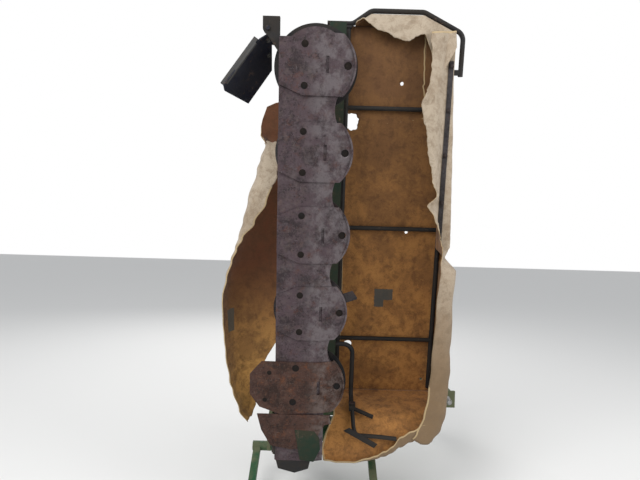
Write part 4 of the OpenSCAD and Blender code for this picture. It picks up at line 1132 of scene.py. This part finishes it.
class MOWER_OT_belt_cover(bpy.types.Operator):
    """Raise a bolted lid on each side of the belt guard"""
    bl_idname = "mower.belt_cover"
    bl_label = "Belt guard lid"

    def execute(self, context):
        for name, x, side in (("guard_lid_rear", -0.185, -1), ("guard_lid_front", -0.035, 1)):
            bm = bmesh.new()
            rims = []
            for centre, radius in (((x, 0, 0), 0.128), ((x, *WHEEL), 0.074)):
                place = Matrix.Translation(centre) @ Matrix.Rotation(side * math.pi / 2, 4, "Y")
                rims += bmesh.ops.create_circle(
                    bm, cap_ends=False, segments=40, radius=radius, matrix=place)["verts"]
            hull = bmesh.ops.convex_hull(bm, input=rims)
            inside = [v for v in hull["geom_interior"] if isinstance(v, bmesh.types.BMVert)]
            bmesh.ops.delete(bm, geom=inside, context="VERTS")
            bmesh.ops.dissolve_limit(bm, angle_limit=0.01, verts=bm.verts, edges=bm.edges)
            bmesh.ops.solidify(bm, geom=list(bm.faces), thickness=0.004)
            mend_normals(bm)
            foot = min(side * v.co.x for v in bm.verts) * side
            bmesh.ops.translate(bm, vec=(x - foot, 0, 0), verts=bm.verts)
            lid = x + side * 0.004
            bolts = [(0.17, 0.128), (0.33, 0.122), (0.2, -0.072), (0.36, -0.018)]
            bolts += on_circle(0.110, (2.6, 3.5, 4.4, 5.2))
            # The input tube stands over the upper wheel of the front lid
            if side < 0:
                bolts += on_circle(0.058, (-0.9, 0.1, 1.1), WHEEL)
                add_disc(bm, (lid, *WHEEL), (-1, 0, 0), 0.034, 0.012, 36, 0.003)
                add_disc(bm, (lid, 0, 0), (-1, 0, 0), 0.05, 0.01, 36, 0.003)
            for y, z in bolts:
                add_bolt(bm, (lid, y, z), (side, 0, 0), 0.007)
            finish_piece(name, bm, "guard plastic", "swing_arm", LEVEL)
        return {"FINISHED"}


class MOWER_OT_arm_trim(bpy.types.Operator):
    """Run weld beads round the arm's joints and paint its yellow mark"""
    bl_idname = "mower.arm_trim"
    bl_label = "Arm trim"

    def execute(self, context):
        bm = bmesh.new()
        for x in (-0.0182, -0.0058, 0.0378, 0.0502):
            add_bead(bm, [(x, 0.53, -0.015), (x, 0.604, -0.015)], 0.004)
        for x in (0.02, 0.034, 0.38, 0.394):
            add_bead(bm, [(x, 0.516, -0.015), (x, 0.569, -0.015)], 0.004)
        for z in (-0.0555, 0.0555):
            add_bead(bm, [(0.838, 0.618, z), (0.862, 0.597, z), (0.893, 0.596, z)], 0.0045)
        finish_piece("arm_welds", bm, "green paint", "swing_arm", LEVEL)
        bm = bmesh.new()
        direction = Vector((0.69, 0.66, 0)).normalized()
        across = Vector((direction.y, -direction.x, 0))
        middle = Vector((0.19, -0.01, 0)) + direction * 0.47 + across * 0.0552
        on_beam = Matrix.Translation(middle) @ Matrix((
            (*direction, 0), (0, 0, 1, 0), (*across, 0), (0, 0, 0, 1))).transposed()
        add_box(bm, (-0.05, 0.05), (-0.018, 0.018), (0, 0.0012), 0.0004)
        bmesh.ops.transform(bm, matrix=on_beam, verts=bm.verts)
        bmesh.ops.recalc_face_normals(bm, faces=bm.faces)
        finish_piece("yellow_mark", bm, "yellow mark", "swing_arm", LEVEL)
        return {"FINISHED"}


class MOWER_OT_pivot_fittings(bpy.types.Operator):
    """Fit grease nipples, washers and nuts at the pivots of the arm and the lift"""
    bl_idname = "mower.pivot_fittings"
    bl_label = "Pivot fittings"

    def execute(self, context):
        bm = bmesh.new()
        add_disc(bm, (0.88, 0.65, 0.133), UP, 0.026, 0.012, 6, 0.003)
        finish_piece("king_nut", bm, "fastener steel", "headstock", LEVEL)
        bm = bmesh.new()
        for side, x in ((-1, -0.02), (1, 0.06)):
            add_disc(bm, (x, 0.6, 0.2), (side, 0, 0), 0.019, 0.003, 28)
            add_ring(bm, (x + side * 0.006, 0.6, 0.2), (1, 0, 0), 0.014, 0.002, 22)
        for x in (0.13, 0.27):
            add_disc(bm, (x, 0, 0.0735), UP, 0.007, 0.008, 6, 0.001)
            add_disc(bm, (x, 0, 0.0815), UP, 0.0035, 0.009, 12, 0.001)
        mend_normals(bm)
        finish_piece("arm_fittings", bm, "fastener steel", "swing_arm", LEVEL)
        bm = bmesh.new()
        for y, z in on_circle(0.052, [angle + 0.3 for angle in SIXTHS]):
            add_bolt(bm, (0.316, y, z), (1, 0, 0), 0.008, False)
        finish_piece("journal_bolts", bm, "fastener steel", "cutter_unit", FOLDED)
        return {"FINISHED"}


class MOWER_OT_link_pins(bpy.types.Operator):
    """Clip the link pins with linch pins and their rings, and put washers at the top pin"""
    bl_idname = "mower.link_pins"
    bl_label = "Linch pins"

    def execute(self, context):
        bm = bmesh.new()
        for side in (-1, 1):
            y = HEAD_Y + side * 0.4785
            add_disc(bm, (LINK_X, y, 0.012), UP, 0.0045, 0.042, 14, 0.001)
            add_disc(bm, (LINK_X, y, 0.0445), UP, 0.008, 0.006, 16, 0.001)
            add_ring(bm, (LINK_X, y + side * 0.004, 0.030), (0, 1, 0), 0.0205, 0.0017, 28)
            add_disc(bm, (LINK_X, HEAD_Y + side * 0.4205, 0.03), (0, side, 0), 0.026, 0.006, 32, 0.0015)
            add_disc(bm, (0.99, HEAD_Y + side * 0.0405, 0.64), (0, side, 0), 0.021, 0.004, 28)
        mend_normals(bm)
        finish_piece("linch_pins", bm, "pin steel", "headstock", LEVEL)
        return {"FINISHED"}


class MOWER_OT_mast_welds(bpy.types.Operator):
    """Weld the mast and hitch plates to the headstock"""
    bl_idname = "mower.mast_welds"
    bl_label = "Headstock welds"

    def execute(self, context):
        bm = bmesh.new()
        for side in (-1, 1):
            for y in (HEAD_Y + side * 0.26 - 0.034, HEAD_Y + side * 0.26 + 0.034):
                add_bead(bm, [(0.968, y, 0.0755), (1.032, y, 0.0755)], 0.0045)
            plate = HEAD_Y + side * 0.4045
            add_bead(bm, [(0.957, plate, -0.013), (0.957, plate, 0.073)], 0.004)
        for z in (0.1012, -0.0762):
            add_bead(bm, [(0.955, 0.57, z), (0.955, 0.75, z)], 0.0045)
        finish_piece("headstock_welds", bm, "green paint", "headstock", LEVEL)
        return {"FINISHED"}


class MOWER_OT_board_fittings(bpy.types.Operator):
    """Bolt the swath board to its pivot and edge it with a worn strip"""
    bl_idname = "mower.board_fittings"
    bl_label = "Swath board fittings"

    def execute(self, context):
        bm = bmesh.new()
        lean_at = Matrix.Translation((0, 0, BAR_TOP + 0.009))
        place = (FOLDED @ Matrix.Translation(BOARD_PIVOT) @ Matrix.Rotation(BOARD_TURN, 4, "Z")
                 @ lean_at @ Matrix.Rotation(BOARD_LEAN, 4, "X") @ lean_at.inverted())
        for x, z in ((0.035, BAR_TOP + 0.05), (0.08, BAR_TOP + 0.13)):
            for side in (1, -1):
                add_bolt(bm, (x, side * 0.004, z), (0, side, 0), 0.009)
        add_box(bm, (0.085, 0.318), (-0.0062, 0.0062), (GROUND + 0.0465, GROUND + 0.058), 0.0015)
        add_box(bm, (0.068, 0.332), (0.002, 0.0262), (GROUND + 0.0506, GROUND + 0.0518), 0.0004)
        finish_piece("board_fittings", bm, "board edge", "swath_board", place)
        return {"FINISHED"}


class MOWER_OT_stand_fittings(bpy.types.Operator):
    """Fit the stands with spring pins and weld their feet"""
    bl_idname = "mower.stand_fittings"
    bl_label = "Stand fittings"

    def execute(self, context):
        bm = bmesh.new()
        for x in (-0.33, 0.41):
            for side in (-1, 1):
                weld = x + side * 0.0225
                add_bead(bm, [(weld, -0.255, -0.409), (weld, -0.222, -0.409)], 0.0035)
                add_bolt(bm, (x + side * 0.045, -0.27, -0.41), UP, 0.008)
        for x in (0.245, 0.375):
            add_ring(bm, (x, 0.17, -0.19), (1, 0, 0), 0.0335, 0.0035, 40)
            add_disc(bm, (x, 0.17, -0.2245), DOWN, 0.005, 0.012, 12, 0.001)
        mend_normals(bm)
        finish_piece("outer_stand_fittings", bm, "fastener steel", "outer_stand", LEVEL)
        bm = bmesh.new()
        for side in (-1, 1):
            weld = 0.924 + side * 0.0155
            add_bead(bm, [(weld, 1.268, -0.4085), (weld, 1.308, -0.4085)], 0.0035)
            add_bolt(bm, (0.924 + side * 0.042, 1.29, -0.41), UP, 0.008)
        finish_piece("head_stand_fittings", bm, "fastener steel", "head_stand", LEVEL)
        return {"FINISHED"}


class MOWER_OT_stage(bpy.types.Operator):
    """Lay the floor, light the mower and stand the camera where the picture was taken"""
    bl_idname = "mower.stage"
    bl_label = "Stage"

    def execute(self, context):
        scene = context.scene
        settings = scene.mower_stage
        bm = bmesh.new()
        bmesh.ops.create_grid(bm, x_segments=8, y_segments=8, size=30)
        mesh = bpy.data.meshes.new("floor")
        bm.to_mesh(mesh)
        bm.free()
        floor = bpy.data.objects.new("floor", mesh)
        scene.collection.objects.link(floor)
        mesh.materials.append(plain_white("pale floor", (0.78, 0.77, 0.75)))

        # The room lights the mower a little blue, and reads white from the camera and in reflections
        world = bpy.data.worlds.new("pale room")
        world.use_nodes = True
        tree = world.node_tree
        tree.nodes.clear()
        light = put(tree, "ShaderNodeBackground", Strength=0.62, Color=(0.93, 0.96, 1.0, 1))
        white = put(tree, "ShaderNodeBackground", Strength=1.0, Color=(1, 1, 1, 1))
        rays = tree.nodes.new("ShaderNodeLightPath").outputs
        seen = maths("MAXIMUM", rays["Is Camera Ray"], rays["Is Glossy Ray"])
        seen = maths("MAXIMUM", seen, rays["Is Transmission Ray"])
        both = put(tree, "ShaderNodeMixShader", [("Fac", seen), (1, light.outputs[0]), (2, white.outputs[0])])
        put(tree, "ShaderNodeOutputWorld", [("Surface", both.outputs[0])])
        scene.world = world

        for name, place, aim, size, share in (
            ("main lamp", (-3.2, -5.2, 5.6), (0, -0.2, 1.3), 4.0, 1.0),
            ("side lamp", (4.6, -3.4, 3.4), (0, -0.2, 1.3), 3.0, 0.42),
            ("back lamp", (-1.5, 5.0, 4.6), (0, 0, 1.2), 3.0, 0.35),
        ):
            lamp = bpy.data.lights.new(name, "AREA")
            lamp.energy = settings.lamp * share
            lamp.size = size
            holder = bpy.data.objects.new(name, lamp)
            holder.location = place
            holder.rotation_euler = (Vector(aim) - Vector(place)).to_track_quat("-Z", "Y").to_euler()
            scene.collection.objects.link(holder)

        lens = bpy.data.cameras.new("camera")
        lens.lens = settings.lens
        lens.sensor_width = 36.0
        camera = bpy.data.objects.new("camera", lens)
        camera.matrix_world = (Matrix.Translation(settings.camera) @ Matrix.Rotation(math.pi / 2, 4, "X")
                               @ Matrix.Rotation(settings.roll, 4, "Z"))
        scene.collection.objects.link(camera)
        scene.camera = camera
        scene.view_settings.view_transform = "Standard"
        return {"FINISHED"}


OPERATORS = (
    MOWER_OT_materials,
    MOWER_OT_front_cover,
    MOWER_OT_hoop_flap,
    MOWER_OT_rear_cover,
    MOWER_OT_inner_curtain,
    MOWER_OT_skid_bolts,
    MOWER_OT_bar_bolts,
    MOWER_OT_disc_bolts,
    MOWER_OT_strip_bolts,
    MOWER_OT_hinge_fittings,
    MOWER_OT_tube_clamp,
    MOWER_OT_gearbox_fittings,
    MOWER_OT_inner_end,
    MOWER_OT_belt_cover,
    MOWER_OT_arm_trim,
    MOWER_OT_pivot_fittings,
    MOWER_OT_link_pins,
    MOWER_OT_mast_welds,
    MOWER_OT_board_fittings,
    MOWER_OT_stand_fittings,
    MOWER_OT_stage,
)

SETTINGS = (
    ("mower_finish", FinishSettings),
    ("mower_cover", CoverSettings),
    ("mower_fasteners", FastenerSettings),
    ("mower_stage", StageSettings),
)


class MOWER_PT_sidebar(bpy.types.Panel):
    """Sizes, colours and steps of the mower"""
    bl_idname = "MOWER_PT_sidebar"
    bl_label = "Folded disc mower"
    bl_space_type = "VIEW_3D"
    bl_region_type = "UI"
    bl_category = "Mower"

    def draw(self, context):
        layout = self.layout
        for name, group in SETTINGS:
            box = layout.box()
            box.label(text=name.replace("mower_", "").title())
            for key in group.__annotations__:
                box.prop(getattr(context.scene, name), key)
        for operator in OPERATORS:
            layout.operator(operator.bl_idname)


def register():
    for name, group in SETTINGS:
        bpy.utils.register_class(group)
        setattr(bpy.types.Scene, name, bpy.props.PointerProperty(type=group))
    for operator in OPERATORS:
        bpy.utils.register_class(operator)
    bpy.utils.register_class(MOWER_PT_sidebar)


def unregister():
    bpy.utils.unregister_class(MOWER_PT_sidebar)
    for operator in reversed(OPERATORS):
        bpy.utils.unregister_class(operator)
    for name, group in reversed(SETTINGS):
        delattr(bpy.types.Scene, name)
        bpy.utils.unregister_class(group)


def main():
    register()
    for operator in OPERATORS:
        group, name = operator.bl_idname.split(".")
        getattr(getattr(bpy.ops, group), name)()


if __name__ == "__main__":
    main()
